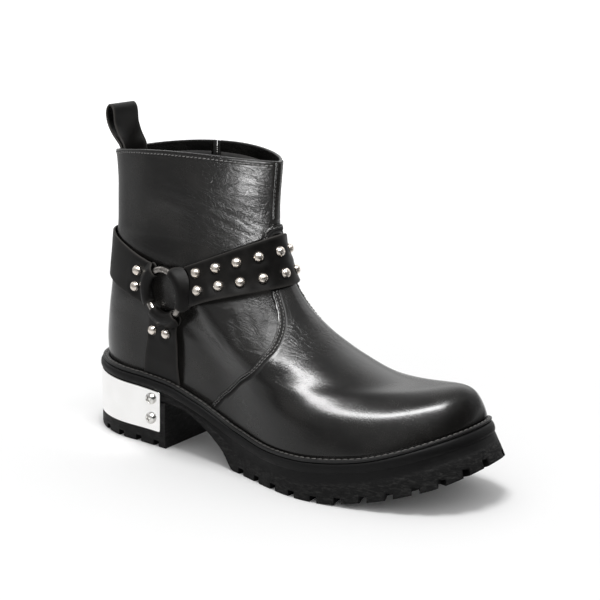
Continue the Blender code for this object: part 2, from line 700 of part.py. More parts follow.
def strap_sheet(name, strap, near, band, band_columns):
    """Strap whose end is turned under round the ring; band(t, w, root, turn) places the rest of it."""
    tail, wrap, ramp = 2, 7, 3
    reach = np.concatenate([
        RING_RADIUS + np.linspace(TAIL, TAIL / tail, tail),
        RING_RADIUS - WRAP * np.sin(np.linspace(np.pi, 0, wrap)),
        RING_RADIUS + np.linspace(RAMP / ramp, RAMP, ramp),
    ])
    height = np.concatenate([
        np.full(tail, -WRAP), WRAP * np.cos(np.linspace(np.pi, 0, wrap)), np.full(ramp, WRAP)
    ])
    turned_under = tail + wrap // 2
    lift = np.where(np.arange(len(reach)) < turned_under, TAIL_LIFT, RAMP_LIFT)
    settle = np.concatenate([
        ease(RING_RADIUS, RING_RADIUS + TAIL, reach[:tail]), np.zeros(wrap),
        ease(RING_RADIUS + WRAP / 2, RING_RADIUS + RAMP, reach[tail + wrap:]),
    ])
    root_columns = len(reach)

    def place(u, v):
        w = 2 * v - 1
        column = np.rint(u * (root_columns + band_columns - 1)).astype(int)
        root = np.minimum(column, root_columns - 1)
        points, turn = strap_root(strap, reach[root], w, near, height[root], lift[root], settle[root])
        beyond = column >= root_columns
        t = (column - root_columns + 1) / band_columns
        return np.where(beyond[:, None], band(np.clip(t, 0, 1), w, points, turn), points)

    columns = root_columns + band_columns - 1
    return thicken(sheet(name, columns, STRAP_FACETS, place, "strap_leather"), STRAP, 1)


def band_half(strap, turn):
    """Half width of a strap that runs round the boot, where it passes a turn."""
    near_turn = 0.5
    if strap["far_turn"] < near_turn:
        return strap["far_half"]
    wider = ease(near_turn, strap["far_turn"], turn)
    narrower = ease(strap["far_turn"], strap["end_turn"], turn)
    return mix(strap["near_half"], strap["far_half"], wider * (1 - narrower))


def band_row(strap, turn, offset):
    """Row where a strap's line, moved across by offset, passes a turn."""
    _, across = heading_axes(strap)
    sign = np.sign(across[1])

    def height(row):
        point = skin_point(turn, row)
        return sign * (across[0] * (point[..., 0] - RING_X) + across[1] * (point[..., 2] - RING_Z) - offset)

    return solve_row(height, low=2.0)


def round_band(strap):
    def band(t, w, root, turn):
        passing = mix(turn, strap["end_turn"], t)
        row = band_row(strap, passing, w * band_half(strap, passing))
        return skin(passing, row, read(strap["lift"], t))

    return band


def down_band(t, w, root, turn):
    """The strap from the ring to the welt, straight down and wider towards the back."""
    half = np.where(w < 0, mix(*DOWN_STRAP["back_half"], t), DOWN_STRAP["front_half"])
    x = RING_X + w * half
    low = sole_top(x) + WELT_THICK + 3 * FIT
    z = mix(root[:, 2], low, t)
    wall, _, _ = side_point(x, z)
    return np.stack([x, wall[:, 1] - read(DOWN_STRAP["lift"], t), z], -1)


def make_harness():
    for name, strap, columns in (("front_strap", FRONT_STRAP, 20), ("rear_strap", REAR_STRAP, 16)):
        near = (strap["near_half"], strap["near_half"])
        strap_sheet(name, strap, near, round_band(strap), columns)
    down_near = (DOWN_STRAP["back_half"][0], DOWN_STRAP["front_half"])
    strap_sheet("down_strap", DOWN_STRAP, down_near, down_band, 5)
    bpy.ops.mesh.primitive_torus_add(
        major_radius=RING_RADIUS * MM, minor_radius=RING_WIRE * MM, major_segments=24, minor_segments=6
    )
    torus = bpy.context.object
    ring = new_object("ring", torus.data, "nickel")
    bpy.data.objects.remove(torus)
    ring.data.shade_smooth()
    middle, lean = ring_plane(RING_X)
    ring.location = Vector((RING_X, middle, RING_Z)) * MM
    ring.rotation_euler = Vector((lean, -1, 0)).to_track_quat("Z", "Y").to_euler()
    make_studs()
    make_rivets()


def make_studs():
    strap = FRONT_STRAP
    turns = np.linspace(STUD_START, strap["end_turn"], EDGE_SAMPLES)
    line = skin_point(turns, band_row(strap, turns, 0.0))
    travelled = np.concatenate([[0], np.cumsum(np.linalg.norm(np.diff(line, axis=0), axis=1))])
    start_turn = float(along_at(RING_X + RING_RADIUS + RAMP, FOLLOW_END))
    for k in range(STUD_COUNT):
        turn = np.array(np.interp(k * STUD_PITCH, travelled, turns))
        share = (turn - start_turn) / (strap["end_turn"] - start_turn)
        lift = read(strap["lift"], share) + STRAP + FIT
        for row_name, offset in (("top", STUD_TOP), ("low", read(STUD_LOW, turn))):
            row = band_row(strap, turn, offset)
            _, normal, _, _ = skin_frame(turn, row)
            seat = skin(turn, row, lift)
            dome(f"stud_{row_name}_{k + 1}", STUD_RADIUS, STUD_HEIGHT, seat, normal, "nickel")


def make_rivets():
    for name, strap in (("rear", REAR_STRAP), ("down", DOWN_STRAP)):
        ahead, across = heading_axes(strap)
        for number, offset in enumerate(RIVET_OFFSETS[name], 1):
            x, z = np.array((RING_X, RING_Z)) + RIVET_REACH * ahead + offset * across
            _, turn, row = side_point(x, z)
            _, normal, _, _ = skin_frame(turn, row)
            point = skin(turn, row, RAMP_LIFT + STRAP + FIT)
            dome(f"rivet_{name}_{number}", STUD_RADIUS, STUD_HEIGHT, point, normal, "nickel")


def make_pull_loop():
    legs = np.array(LOOP_LEGS)
    position = np.arange(len(legs))

    def place(u, v):
        w = 2 * v - 1
        x = smooth(position, legs[:, 0], u * position[-1])
        z = smooth(position, legs[:, 1], u * position[-1])
        return np.stack([x + read(LOOP_BOW, z) * w**2, -LOOP_HALF * w, z], -1)

    thicken(sheet("pull_loop", 20, 4, place, "strap_leather"), LOOP_THICK, 1)


def make_zip():
    chain_middle = CHAIN_PROUD - CHAIN_THICK / 2
    chain = zip_ribbon(
        "zip_chain", SLIT_HALF - FIT, chain_middle, ZIP_BOTTOM_ROW + ZIP_END_GAP, ZIP_TOP_ROW, "nickel"
    )
    thicken(chain, CHAIN_THICK, 0)
    point, normal, up, sideways = skin_frame(np.array(ZIP_TURN), np.array(SLIDER_ROW))
    foot = point + normal * (chain_middle + CHAIN_THICK / 2 + FIT)
    axes = frame_matrix(foot, Vector(sideways), Vector(up), Vector(normal))
    bm = bmesh.new()
    size = Matrix.Diagonal((*(side * MM for side in SLIDER_SIZE), 1))
    bmesh.ops.create_cube(bm, size=1, matrix=Matrix.Translation((0, 0, SLIDER_SIZE[2] / 2 * MM)) @ size)
    slider = from_bmesh("zip_slider", bm, "nickel")
    slider.matrix_local = axes
    bridge = prism("zip_bridge", BRIDGE_OUTLINE, 2 * BRIDGE_HALF, ((0, 1, 0), (0, 0, 1), (1, 0, 0)), None)
    bridge.matrix_local = axes
    combine(slider, bridge, "UNION")
    hinge = foot + up * PULL_AXIS[0] + normal * PULL_AXIS[1]
    hinge_axes = frame_matrix(hinge, Vector(sideways), Vector(up), Vector(normal))
    bm = bmesh.new()
    size = Matrix.Diagonal((*(side * MM for side in PULL_SIZE), 1))
    hang = Matrix.Translation((0, (PULL_BAR - PULL_SIZE[1] / 2) * MM, 0))
    bmesh.ops.create_cube(bm, size=1, matrix=hang @ size)
    pull = from_bmesh("zip_pull", bm, "nickel")
    pull.matrix_local = hinge_axes
    window = boxes("pull_window", [(
        (PULL_WINDOW[0], PULL_WINDOW[1], 4 * PULL_SIZE[2]),
        Matrix.Translation((0, (-PULL_BAR - PULL_WINDOW[1] / 2) * MM, 0)),
    )])
    window.matrix_local = hinge_axes
    combine(pull, window, "DIFFERENCE")


def centre_origin():
    """Carry the boot so that the middle of its box stands over the origin."""
    bpy.context.view_layer.update()
    graph = bpy.context.evaluated_depsgraph_get()
    corners = []
    for obj in parts.objects:
        shown = obj.evaluated_get(graph)
        corners += [shown.matrix_world @ Vector(corner) for corner in shown.bound_box]
    box = np.array(corners)
    middle = (box.min(0) + box.max(0)) / 2
    origin.location = (-middle[0], -middle[1], 0)


for old in list(bpy.data.objects):
    bpy.data.objects.remove(old)
parts = new_collection("harness_boot")
cutters = new_collection("cutters")
origin = bpy.data.objects.new("boot_origin", None)
parts.objects.link(origin)
make_outsole()
make_heel()
make_heel_plate()
make_welt()
make_insole()
make_upper()
make_vamp()
make_stays()
make_harness()
make_pull_loop()
make_zip()
centre_origin()
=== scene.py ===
# Harness ankle boot for the right foot: its looks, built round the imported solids
import math

import bmesh
import bpy
import numpy as np
from mathutils import Matrix, Vector, kdtree


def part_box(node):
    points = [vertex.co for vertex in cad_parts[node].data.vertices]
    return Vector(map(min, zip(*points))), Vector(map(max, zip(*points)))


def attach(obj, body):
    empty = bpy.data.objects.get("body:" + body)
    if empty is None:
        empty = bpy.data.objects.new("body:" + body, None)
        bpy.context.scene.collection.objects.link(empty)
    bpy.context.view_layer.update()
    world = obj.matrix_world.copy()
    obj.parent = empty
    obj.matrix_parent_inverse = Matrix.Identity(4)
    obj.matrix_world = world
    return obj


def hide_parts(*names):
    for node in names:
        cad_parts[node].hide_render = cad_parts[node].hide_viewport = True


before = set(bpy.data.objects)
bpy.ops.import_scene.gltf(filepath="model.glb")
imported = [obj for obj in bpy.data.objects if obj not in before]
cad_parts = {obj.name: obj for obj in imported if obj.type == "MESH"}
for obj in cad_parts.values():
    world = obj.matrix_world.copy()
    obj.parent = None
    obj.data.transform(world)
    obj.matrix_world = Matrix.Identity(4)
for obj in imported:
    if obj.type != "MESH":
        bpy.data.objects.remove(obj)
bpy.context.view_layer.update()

# Sizes of the last in mm: x from the heel to the toe, y to the inner side, z up from the floor
last = {
    "length": 304.0, "heelLength": 81.0, "heelSeat": 49.7, "heelTop": 34.0, "platform": 25.5,
    "toeTopRise": 25.3, "toeSpring": 28.2, "toeLean": 0.43, "leanStart": 240.0, "treadStart": 145.0,
    "springStart": 222.0, "lip": 6.8, "fit": 0.3, "wall": 2.2, "collarBack": 204.3, "collarFront": 209.9,
    "sideRise": 6.4, "swing": 21.7, "swingStart": 120.0, "vampLift": 0.48,
}
lateral, medial = -1.0, 1.0
mm = 0.001  # in metres
upAxis = np.array([0.0, 0.0, 1.0])
girthNames = (
    "backX", "backZ", "frontX", "frontZ", "rearLat", "rearMed", "midLat", "midMed", "foreLat", "foreMed",
    "rearRound", "noseRound", "nosePower",
)
girthRows = (
    # feather line, top of the welt, toe bulge, toe top, toe cap, vamp
    (3.0, 51, 299, 50.5, 31.6, 31.6, 35.4, 29, 56.3, 38.0, 44, 92, 2.4),
    (2.6, 54, 299, 54.5, 31.6, 31.6, 35.4, 29, 56.3, 38.0, 44, 92, 2.4),
    (1.8, 67.5, 292.6, 74.3, 31.6, 31.6, 36.4, 31, 56.2, 37.5, 44, 113, 2.1),
    (2.7, 80.8, 278.5, 79.9, 31.6, 31.6, 36.4, 32, 54.1, 35.8, 44, 119, 1.6),
    (4.2, 94.2, 249.9, 76.4, 31.6, 31.6, 36.4, 33, 49.3, 33.4, 44, 94, 1.7),
    (6.4, 107.5, 207.2, 85.4, 32.0, 32.0, 34.4, 33, 46.8, 32.5, 44, 79, 2.2),
    # throat, instep, ankle, shaft, collar
    (8.0, 122, 175.1, 105.1, 31.0, 31.0, 32.9, 31.9, 43.7, 29.7, 46, 68, 2.0),
    (9.9, 138, 155.2, 131.2, 31.0, 31.0, 33.8, 32.9, 33.8, 32.9, 48, 62, 2.0),
    (11.0, 157, 147.7, 156.9, 28.3, 28.3, 30.8, 30.8, 30.0, 30.0, 50, 60, 1.9),
    (11.3, 180, 147.1, 177.5, 29.2, 29.2, 31.7, 31.7, 30.8, 30.8, 52, 60, 1.8),
    (9.3, last["collarBack"], 149.3, last["collarFront"], 30.0, 30.0, 32.5, 32.5, 31.7, 31.7, 54, 62, 1.7),
)
girth = dict(zip(girthNames, np.array(girthRows, float).T))
weltRow, followEnd, riseStart, collarRow = 1.0, 6.0, 7.0, len(girthRows) - 1.0
rowHeight = 24.0  # of one row by the collar
rearStation, midStation, foreStation = 0.16, 0.42, 0.72
heelSeat, platform, toeSpring = last["heelSeat"], last["platform"], last["toeSpring"]
soleTopTable = (
    (0, heelSeat + 1), (40, heelSeat), (78, heelSeat - 1.8), (110, heelSeat - 9), (145, platform + 2.8),
    (178, platform - 1.2), (205, platform), (245, platform + 5.2),
    (last["length"], platform + last["toeTopRise"]),
)
soleBottomTable = (
    (0, last["heelTop"]), (last["heelLength"], last["heelTop"]), (96, 33), (112, 27.5), (134, 12),
    (last["treadStart"], 0), (last["springStart"], 0), (250, 0.16 * toeSpring), (280, 0.55 * toeSpring),
    (last["length"], toeSpring),
)

# The frame gives where this last stands: the heel's breast in x, the middle of the pull loop in y
loopLow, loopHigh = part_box("pull_loop")
shift = np.array([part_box("heel")[1].x * 1000 - last["heelLength"], (loopLow.y + loopHigh.y) * 500, 0.0])
print("last stands at", shift.round(3))


# Curves and surfaces of the last
def smooth(xs, ys, x):
    # monotone cubic through the points, read at x: Hermite spans with harmonic mean slopes
    xs, ys = np.asarray(xs, float), np.asarray(ys, float)
    step = np.diff(xs)
    slope = np.diff(ys) / step
    before, after = slope[:-1], slope[1:]
    sameWay = before * after > 0
    inner = np.where(sameWay, 2 * before * after / np.where(sameWay, before + after, 1.0), 0.0)
    tangent = np.concatenate([[slope[0]], inner, [slope[-1]]])
    x = np.asarray(x, float)
    i = np.clip(np.searchsorted(xs, x, side="right") - 1, 0, len(step) - 1)
    t = (x - xs[i]) / step[i]
    a, b = (1 + 2 * t) * (1 - t) ** 2, t * t * (3 - 2 * t)
    c, d = t * (1 - t) ** 2, t * t * (t - 1)
    return a * ys[i] + b * ys[i + 1] + step[i] * (c * tangent[i] + d * tangent[i + 1])


def readTable(table, x):
    return smooth(*zip(*table), x)


def ease(a, b, x):
    # 0 before a, 1 after b, a smooth step between
    t = np.clip((np.asarray(x, float) - a) / (b - a), 0, 1)
    return t * t * (3 - 2 * t)


def window(a, b, c, d, x):
    # eases up from a to b and down from c to d
    return ease(a, b, x) * (1 - ease(c, d, x))


def bell(x, middle, width):
    return np.exp(-(((x - middle) / width) ** 2))


def circle(count):
    return np.linspace(0, 2 * np.pi, count, endpoint=False)


def mix(a, b, t):
    return a + (b - a) * t


def rotated(first, second, degrees):
    # two axes turned about the third
    c, s = math.cos(math.radians(degrees)), math.sin(math.radians(degrees))
    return first * c + second * s, second * c - first * s


def unit(vectors):
    return vectors / np.maximum(np.linalg.norm(vectors, axis=-1, keepdims=True), 1e-12)


def soleTop(x):
    return readTable(soleTopTable, x)


def soleBottom(x):
    return readTable(soleBottomTable, x)


def centreLine(x):
    reach = last["length"] - last["swingStart"]
    return last["swing"] * np.clip((x - last["swingStart"]) / reach, 0, 1) ** 2


def leanForward(points):
    # the toe wall of the sole runs forward by how far it lies under the top
    fall = soleTop(points[..., 0]) - points[..., 2]
    points[..., 0] += last["toeLean"] * ease(last["leanStart"], last["length"], points[..., 0]) * fall
    return points


def girthPoint(row, along, side):
    # a girth line is a rounded oval: its half width eases between three stations and its ends round off,
    # its height follows the sole low down and rises to the sides at the collar
    value = {name: smooth(np.arange(len(column)), column, row) for name, column in girth.items()}
    ends = (1 - np.cos(np.pi * np.asarray(along, float))) / 2
    span = value["frontX"] - value["backX"]
    x = value["backX"] + ends * span
    a, b = ease(rearStation, midStation, ends), ease(midStation, foreStation, ends)
    halves = []
    for way in ("Lat", "Med"):
        rear, mid, fore = (value[part + way] for part in ("rear", "mid", "fore"))
        halves.append(rear + (mid - rear) * a + (fore - mid) * b)
    half = np.where(np.asarray(side) < 0, *halves)
    back = 1 - np.clip(ends * span / value["rearRound"], 0, 1)
    nose = 1 - np.clip((1 - ends) * span / value["noseRound"], 0, 1)
    power = value["nosePower"]
    width = half * np.sqrt(1 - back**2) * np.clip(1 - nose**power, 0, 1) ** (1 / power)
    plane = value["backZ"] + (value["frontZ"] - value["backZ"]) * ends
    first = girth["backZ"][0] + (girth["frontZ"][0] - girth["backZ"][0]) * ends
    follow = 1 - ease(weltRow, followEnd, row)
    rise = last["sideRise"] * ease(riseStart, collarRow, row) * np.sin(np.pi * ends) ** 0.7
    z = plane + follow * (soleTop(x) + last["fit"] - first) + rise
    return np.stack(np.broadcast_arrays(x, side * width + centreLine(x), z), -1)


def skinPoint(turn, row):
    # turn runs 0 at the back, 1 in front past the outer side, 2 at the back again
    turn = np.asarray(turn, float) % 2
    return girthPoint(row, np.where(turn < 1, turn, 2 - turn), np.where(turn < 1, lateral, medial))


def skinFrame(turn, row):
    # point, outward normal, upward tangent and sideways tangent, by small differences
    step = 1e-3
    around = skinPoint(turn + step, row) - skinPoint(turn - step, row)
    rising = skinPoint(turn, row + step) - skinPoint(turn, row - step)
    normal = unit(np.cross(around, rising))
    up = unit(rising)
    return skinPoint(turn, row), normal, up, np.cross(up, normal)


def skin(turn, row, lift):
    point, normal, _, _ = skinFrame(turn, row)
    return point + normal * np.asarray(lift, float)[..., None]


def turnPerMm(turn, row):
    step = 1e-3
    return 2 * step / np.linalg.norm(skinPoint(turn + step, row) - skinPoint(turn - step, row), axis=-1)


def alongAt(x, row):
    backX = smooth(np.arange(len(girthRows)), girth["backX"], row)
    frontX = smooth(np.arange(len(girthRows)), girth["frontX"], row)
    return np.arccos(1 - 2 * np.clip((x - backX) / (frontX - backX), 0, 1)) / np.pi


def solveRow(height, low=0.0, high=collarRow):
    # bisection for the row where height(row), which rises with row, passes 0
    low, high = low + 0 * height(low), high + 0 * height(high)
    for _ in range(40):
        middle = (low + high) / 2
        above = height(middle) > 0
        low, high = np.where(above, low, middle), np.where(above, middle, high)
    return (low + high) / 2


def sidePoint(x, z):
    row = solveRow(lambda r: girthPoint(r, alongAt(x, r), lateral)[..., 2] - z)
    along = alongAt(x, row)
    return girthPoint(row, along, lateral), along, row


def outline(row, margin, along, side):
    # a girth line moved outwards in plan by margin
    step = 1e-3
    line = girthPoint(row, along, side)
    after = girthPoint(row, np.clip(along + step, 0, 1), side)
    before = girthPoint(row, np.clip(along - step, 0, 1), side)
    tangent = after - before
    normal = side * unit(np.stack([-tangent[..., 1], tangent[..., 0]], -1))
    line[..., :2] += normal * np.asarray(margin, float)[..., None]
    return line


def travelled(line):
    return np.concatenate([[0.0], np.cumsum(np.linalg.norm(np.diff(line, axis=0), axis=1))])


def nearest(points, line):
    # distance from each point to the nearest point of a line
    flat = points.reshape(-1, 3)
    best = np.full(len(flat), 1e9)
    for chunk in np.array_split(line, max(1, len(line) // 40)):
        best = np.minimum(best, np.linalg.norm(flat[:, None] - chunk[None], axis=2).min(1))
    return best.reshape(points.shape[:-1])


def edged(half, radius, steps, middle):
    # places across a strip, from -half to half, closer together at its two rounded edges
    rim = radius * (1 - np.cos(np.linspace(0, np.pi / 2, steps)))
    inner = np.linspace(-half + radius, half - radius, middle)
    return np.concatenate([-half + rim[:-1], inner, half - rim[-2::-1]])


def roundEdge(distance, radius):
    # share of the full thickness at a distance from an edge: a quarter circle
    t = 1 - np.clip(distance / radius, 0, 1)
    return np.sqrt(1 - t * t)


def spread(grid, axis, times):
    # running mean of each point with its two neighbours, ends held
    grid = np.moveaxis(grid, axis, 0).copy()
    for _ in range(times):
        grid[1:-1] = grid[1:-1] / 2 + (grid[:-2] + grid[2:]) / 4
    return np.moveaxis(grid, 0, axis)


def net(first, second):
    return np.meshgrid(first, second, indexing="ij")


def readAlong(line, far, at):
    # a line's points at given distances from its start
    return np.stack([np.interp(at, far, line[:, k]) for k in range(3)], -1)


def signedPower(v, power):
    return np.sign(v) * np.abs(v) ** power


# Meshes from arrays
def gridFaces(nu, nv, wrapU=False, wrapV=False, start=0):
    # quads of nu by nv points, counted along v first
    i = np.arange(nu if wrapU else nu - 1)[:, None]
    j = np.arange(nv if wrapV else nv - 1)[None, :]
    near, far = i * nv, (i + 1) % nu * nv
    ahead = (j + 1) % nv
    return start + np.stack([near + j, far + j, far + ahead, near + ahead], -1).reshape(-1, 4)


def slab(outer, inner, wrap=False):
    # closed body between two grids: both faces, and strips that join their edges
    nu, nv = outer.shape[:2]
    size = nu * nv
    index = np.arange(size).reshape(nu, nv)
    if wrap:
        rims = [index[:, 0], index[::-1, -1]]
    else:
        rims = [np.concatenate([index[:-1, 0], index[-1, :-1], index[:0:-1, -1], index[0, :0:-1]])]
    faces = [gridFaces(nu, nv, wrap), gridFaces(nu, nv, wrap, start=size)[:, ::-1]]
    for rim in rims:
        ahead = np.roll(rim, -1)
        faces.append(np.stack([ahead, rim, rim + size, ahead + size], -1))
    return np.concatenate([outer.reshape(-1, 3), inner.reshape(-1, 3)]), faces


def padded(middle, normal, half):
    # closed body to both sides of a middle sheet
    return slab(middle + normal * half[..., None], middle - normal * half[..., None])


def bothFaces(value):
    return np.tile(value.ravel(), 2)


def gridNormals(grid):
    # outward normals of a grid by central differences
    return unit(np.cross(np.gradient(grid, axis=0), np.gradient(grid, axis=1)))


def towards(vectors, here, way):
    # vectors turned so that the one at an index goes a given way
    return vectors * np.sign(vectors[here] @ way)


def copies(template, faces, centres, xAxis, yAxis, zAxis):
    # a small template repeated in many frames, as one array
    axes = np.stack([xAxis, yAxis, zAxis], 1)
    points = centres[:, None] + np.einsum("tk,nkc->ntc", template, axes)
    starts = np.arange(len(centres)) * len(template)
    return points.reshape(-1, 3), [(starts[:, None, None] + f[None]).reshape(-1, f.shape[1]) for f in faces]


def placedAt(body, centre, *axes):
    return copies(*body, centre[None], *(axis[None] for axis in axes))


def joined(*bodies):
    points, faces, start = [], [], 0
    for bodyPoints, bodyFaces in bodies:
        points.append(bodyPoints)
        faces += [f + start for f in bodyFaces]
        start += len(bodyPoints)
    return np.concatenate(points), faces


def buildMesh(name, points, faces, values=None, merge=0.0, sharp=None):
    # points in mm of the last go to metres of the frame; faces are turned outwards by the signed volume
    co = (points + shift) * mm
    volume = 0.0
    for f in faces:
        for k in range(1, f.shape[1] - 1):
            volume += np.einsum("ij,ij->", co[f[:, 0]], np.cross(co[f[:, k]], co[f[:, k + 1]]))
    if volume < 0:
        faces = [f[:, ::-1] for f in faces]
    corners = np.concatenate([f.ravel() for f in faces])
    totals = np.concatenate([np.full(len(f), f.shape[1]) for f in faces])
    mesh = bpy.data.meshes.new(name)
    mesh.vertices.add(len(co))
    mesh.vertices.foreach_set("co", co.astype(np.float32).ravel())
    mesh.loops.add(len(corners))
    mesh.loops.foreach_set("vertex_index", corners.astype(np.int32))
    mesh.polygons.add(len(totals))
    mesh.polygons.foreach_set("loop_start", (np.cumsum(totals) - totals).astype(np.int32))
    mesh.polygons.foreach_set("loop_total", totals.astype(np.int32))
    for key, value in (values or {}).items():
        layer = mesh.attributes.new(key, "FLOAT", "POINT")
        layer.data.foreach_set("value", np.asarray(value, np.float32).ravel())
    mesh.update(calc_edges=True)
    if merge:
        bm = bmesh.new()
        bm.from_mesh(mesh)
        bmesh.ops.remove_doubles(bm, verts=bm.verts, dist=merge * mm)
        bmesh.ops.dissolve_degenerate(bm, edges=bm.edges, dist=1e-7)
        bm.to_mesh(mesh)
        bm.free()
    mesh.validate()
    mesh.shade_smooth()
    if sharp:
        mesh.set_sharp_from_angle(angle=math.radians(sharp))
    return mesh


def makePiece(name, body, finish, slot, nodes=(), rides="boot", **how):
    points, faces = body
    obj = bpy.data.objects.new(name, buildMesh(name, points, faces, **how))
    bpy.context.scene.collection.objects.link(obj)
    obj.data.materials.append(finish)
    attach(obj, rides)
    if nodes:
        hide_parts(*nodes)
    return obj


def grey(tone):
    return (tone, tone, tone)


# Shader sums as expressions
class Value:
    def __init__(self, finish, socket):
        self.finish, self.socket = finish, socket

    def math(self, operation, first, second=0.0):
        return self.finish.add("ShaderNodeMath", {"operation": operation}, {0: first, 1: second})

    def __add__(self, other):
        return self.math("ADD", self, other)

    def __sub__(self, other):
        return self.math("SUBTRACT", self, other)

    def __rsub__(self, other):
        return self.math("SUBTRACT", other, self)

    def __mul__(self, other):
        return self.math("MULTIPLY", self, other)

    __radd__, __rmul__ = __add__, __mul__

    def size(self):
        return self.math("ABSOLUTE", self)

    def step(self, low, high):
        # 0 below low, 1 above high
        return self.finish.add(
            "ShaderNodeMapRange", {"interpolation_type": "SMOOTHSTEP"},
            {0: self, 1: low, 2: high, 3: 0.0, 4: 1.0},
        )


class Finish:
    # a material's nodes, or the world's
    def __init__(self, name, world=False, **fixed):
        self.owner = bpy.data.worlds.new(name) if world else bpy.data.materials.new(name)
        self.owner.use_nodes = True
        self.tree = self.owner.node_tree
        self.shader = self.tree.nodes["Background" if world else "Principled BSDF"]
        for socket, value in fixed.items():
            self.shader.inputs[socket.replace("_", " ")].default_value = value

    def add(self, kind, settings=None, inputs=None, output=0):
        node = self.tree.nodes.new(kind)
        for key, value in (settings or {}).items():
            setattr(node, key, value)
        for key, value in (inputs or {}).items():
            self.join(node.inputs[key], value)
        return Value(self, node.outputs[output])

    def join(self, socket, value):
        if isinstance(value, Value):
            self.tree.links.new(value.socket, socket)
        elif isinstance(value, tuple) and socket.type == "RGBA":
            socket.default_value = (*value, 1.0)
        else:
            socket.default_value = value

    def feed(self, **links):
        for name, value in links.items():
            self.join(self.shader.inputs[name.replace("_", " ")], value)
        return self.owner

    def place(self, scale=(1, 1, 1), lean=0.0):
        # Object coordinates in millimetres, leant in side view by an angle, then stretched by scale
        spot = self.add("ShaderNodeTexCoord", output="Object")
        if lean:
            turn = (0.0, math.radians(lean), 0.0)
            spot = self.add("ShaderNodeMapping", {}, {"Vector": spot, "Rotation": turn})
        size = tuple(1000.0 * s for s in scale)
        return self.add("ShaderNodeMapping", {}, {"Vector": spot, "Scale": size})

    def attribute(self, name):
        return self.add("ShaderNodeAttribute", {"attribute_name": name}, output="Fac")

    def noise(self, size, detail=3.0, rough=0.5, spot=None, warp=0.0):
        # size is the width of a blot in mm
        inputs = {"Vector": spot or self.place(), "Scale": 1.0 / size, "Detail": detail, "Roughness": rough}
        inputs["Distortion"] = warp
        return self.add("ShaderNodeTexNoise", {}, inputs)

    def cells(self, size, spot=None):
        return self.add("ShaderNodeTexVoronoi", {}, {"Vector": spot or self.place(), "Scale": 1.0 / size})

    def blendColour(self, share, low, high):
        inputs = {"Factor": share, "A": low, "B": high}
        return self.add("ShaderNodeMix", {"data_type": "RGBA"}, inputs, "Result")

    def bump(self, height, distance, strength=1.0, under=None):
        # distance is the relief's height in mm
        inputs = {"Height": height, "Distance": distance * mm, "Strength": strength}
        if under:
            inputs["Normal"] = under
        return self.add("ShaderNodeBump", {}, inputs)


def glossLeather(name):
    # polished box calf: fine pores, faint pull-up clouds, and grain break where the mesh says creased
    f = Finish(name, Coat_Roughness=0.12, Specular_IOR_Level=0.27)
    clouds = f.noise(26.0, 4.0, 0.55)
    pores = f.cells(0.55, f.place((1.0, 1.0, 1.25)))
    creased = f.attribute("creased")
    breaks = f.noise(2.1, 5.0, 0.62, f.place((0.6, 0.6, 1.4), -24), 1.2)
    lines = (f.noise(9.0, 3.0, 0.6, f.place((0.4, 0.4, 1.7), -20), 0.7) - 0.5).size().step(0.0, 0.055)
    nets = (f.noise(3.4, 2.0, 0.5, None, 0.9) - 0.5).size().step(0.0, 0.09)
    fine = f.noise(0.9, 4.0, 0.6)
    grain = f.bump(pores, 0.035, 0.55)
    relief = f.bump((breaks * 0.8 + lines * 0.55 + nets * 0.30) * creased, 0.5, 0.6, grain)
    normal = f.bump(fine, 0.03, 0.5, relief)
    seam = f.attribute("seam")
    rough = 0.21 + clouds.step(0.3, 0.75) * 0.06 + creased * 0.08 + fine.step(0.4, 0.7) * 0.03 + seam * 0.7
    colour = f.blendColour(clouds.step(0.35, 0.8), (0.0020, 0.0019, 0.0018), (0.0042, 0.0039, 0.0036))
    coat = (0.10 - creased * 0.06) * (1.0 - seam)
    return f.feed(Base_Color=colour, Roughness=rough, Coat_Weight=coat, Normal=normal)


def strapLeather(name):
    # satin harness leather, a little brown, with paler raw edges
    f = Finish(name, Specular_IOR_Level=0.13)
    clouds = f.noise(14.0, 4.0, 0.6)
    pores = f.cells(0.7)
    fine = f.noise(1.1, 4.0, 0.6)
    edge = f.attribute("edge")
    normal = f.bump(fine, 0.05, 0.6, f.bump(pores, 0.05, 0.6))
    body = f.blendColour(clouds.step(0.3, 0.8), (0.0022, 0.0021, 0.0020), (0.0058, 0.0052, 0.0047))
    colour = f.blendColour(edge, body, (0.024, 0.0225, 0.021))
    rough = 0.40 + clouds.step(0.3, 0.7) * 0.08 + edge * 0.2
    return f.feed(Base_Color=colour, Roughness=rough, Normal=normal)


def soleRubber(name):
    # moulded rubber: matt, a rough cut wall, dust in the low spots
    f = Finish(name, Specular_IOR_Level=0.15)
    coarse = f.noise(7.0, 5.0, 0.62, f.place((1.0, 1.0, 1.8)))
    fine = f.noise(0.8, 4.0, 0.65)
    scuffs = f.noise(3.2, 5.0, 0.7, f.place((0.6, 0.6, 2.4)), 0.8)
    rawWall = f.attribute("rawWall")
    normal = f.bump(fine, 0.14, 0.6, f.bump(coarse * rawWall, 1.1, 0.7, f.bump(scuffs * rawWall, 0.6, 0.6)))
    worn = scuffs.step(0.46, 0.66) * rawWall
    colour = f.blendColour(worn, (0.0032, 0.0032, 0.0033), (0.0160, 0.0157, 0.0153))
    rough = 0.46 + rawWall * 0.14 + coarse.step(0.35, 0.7) * 0.12
    return f.feed(Base_Color=colour, Roughness=rough, Normal=normal)


def weltFinish(name):
    f = Finish(name, Specular_IOR_Level=0.3)
    blots = f.noise(5.0, 4.0, 0.6)
    normal = f.bump(f.noise(0.7, 3.0, 0.6), 0.08, 0.5)
    colour = f.blendColour(blots.step(0.4, 0.8), (0.0045, 0.0045, 0.0046), (0.0095, 0.0094, 0.0092))
    return f.feed(Base_Color=colour, Roughness=0.42 + blots.step(0.3, 0.7) * 0.14, Normal=normal)


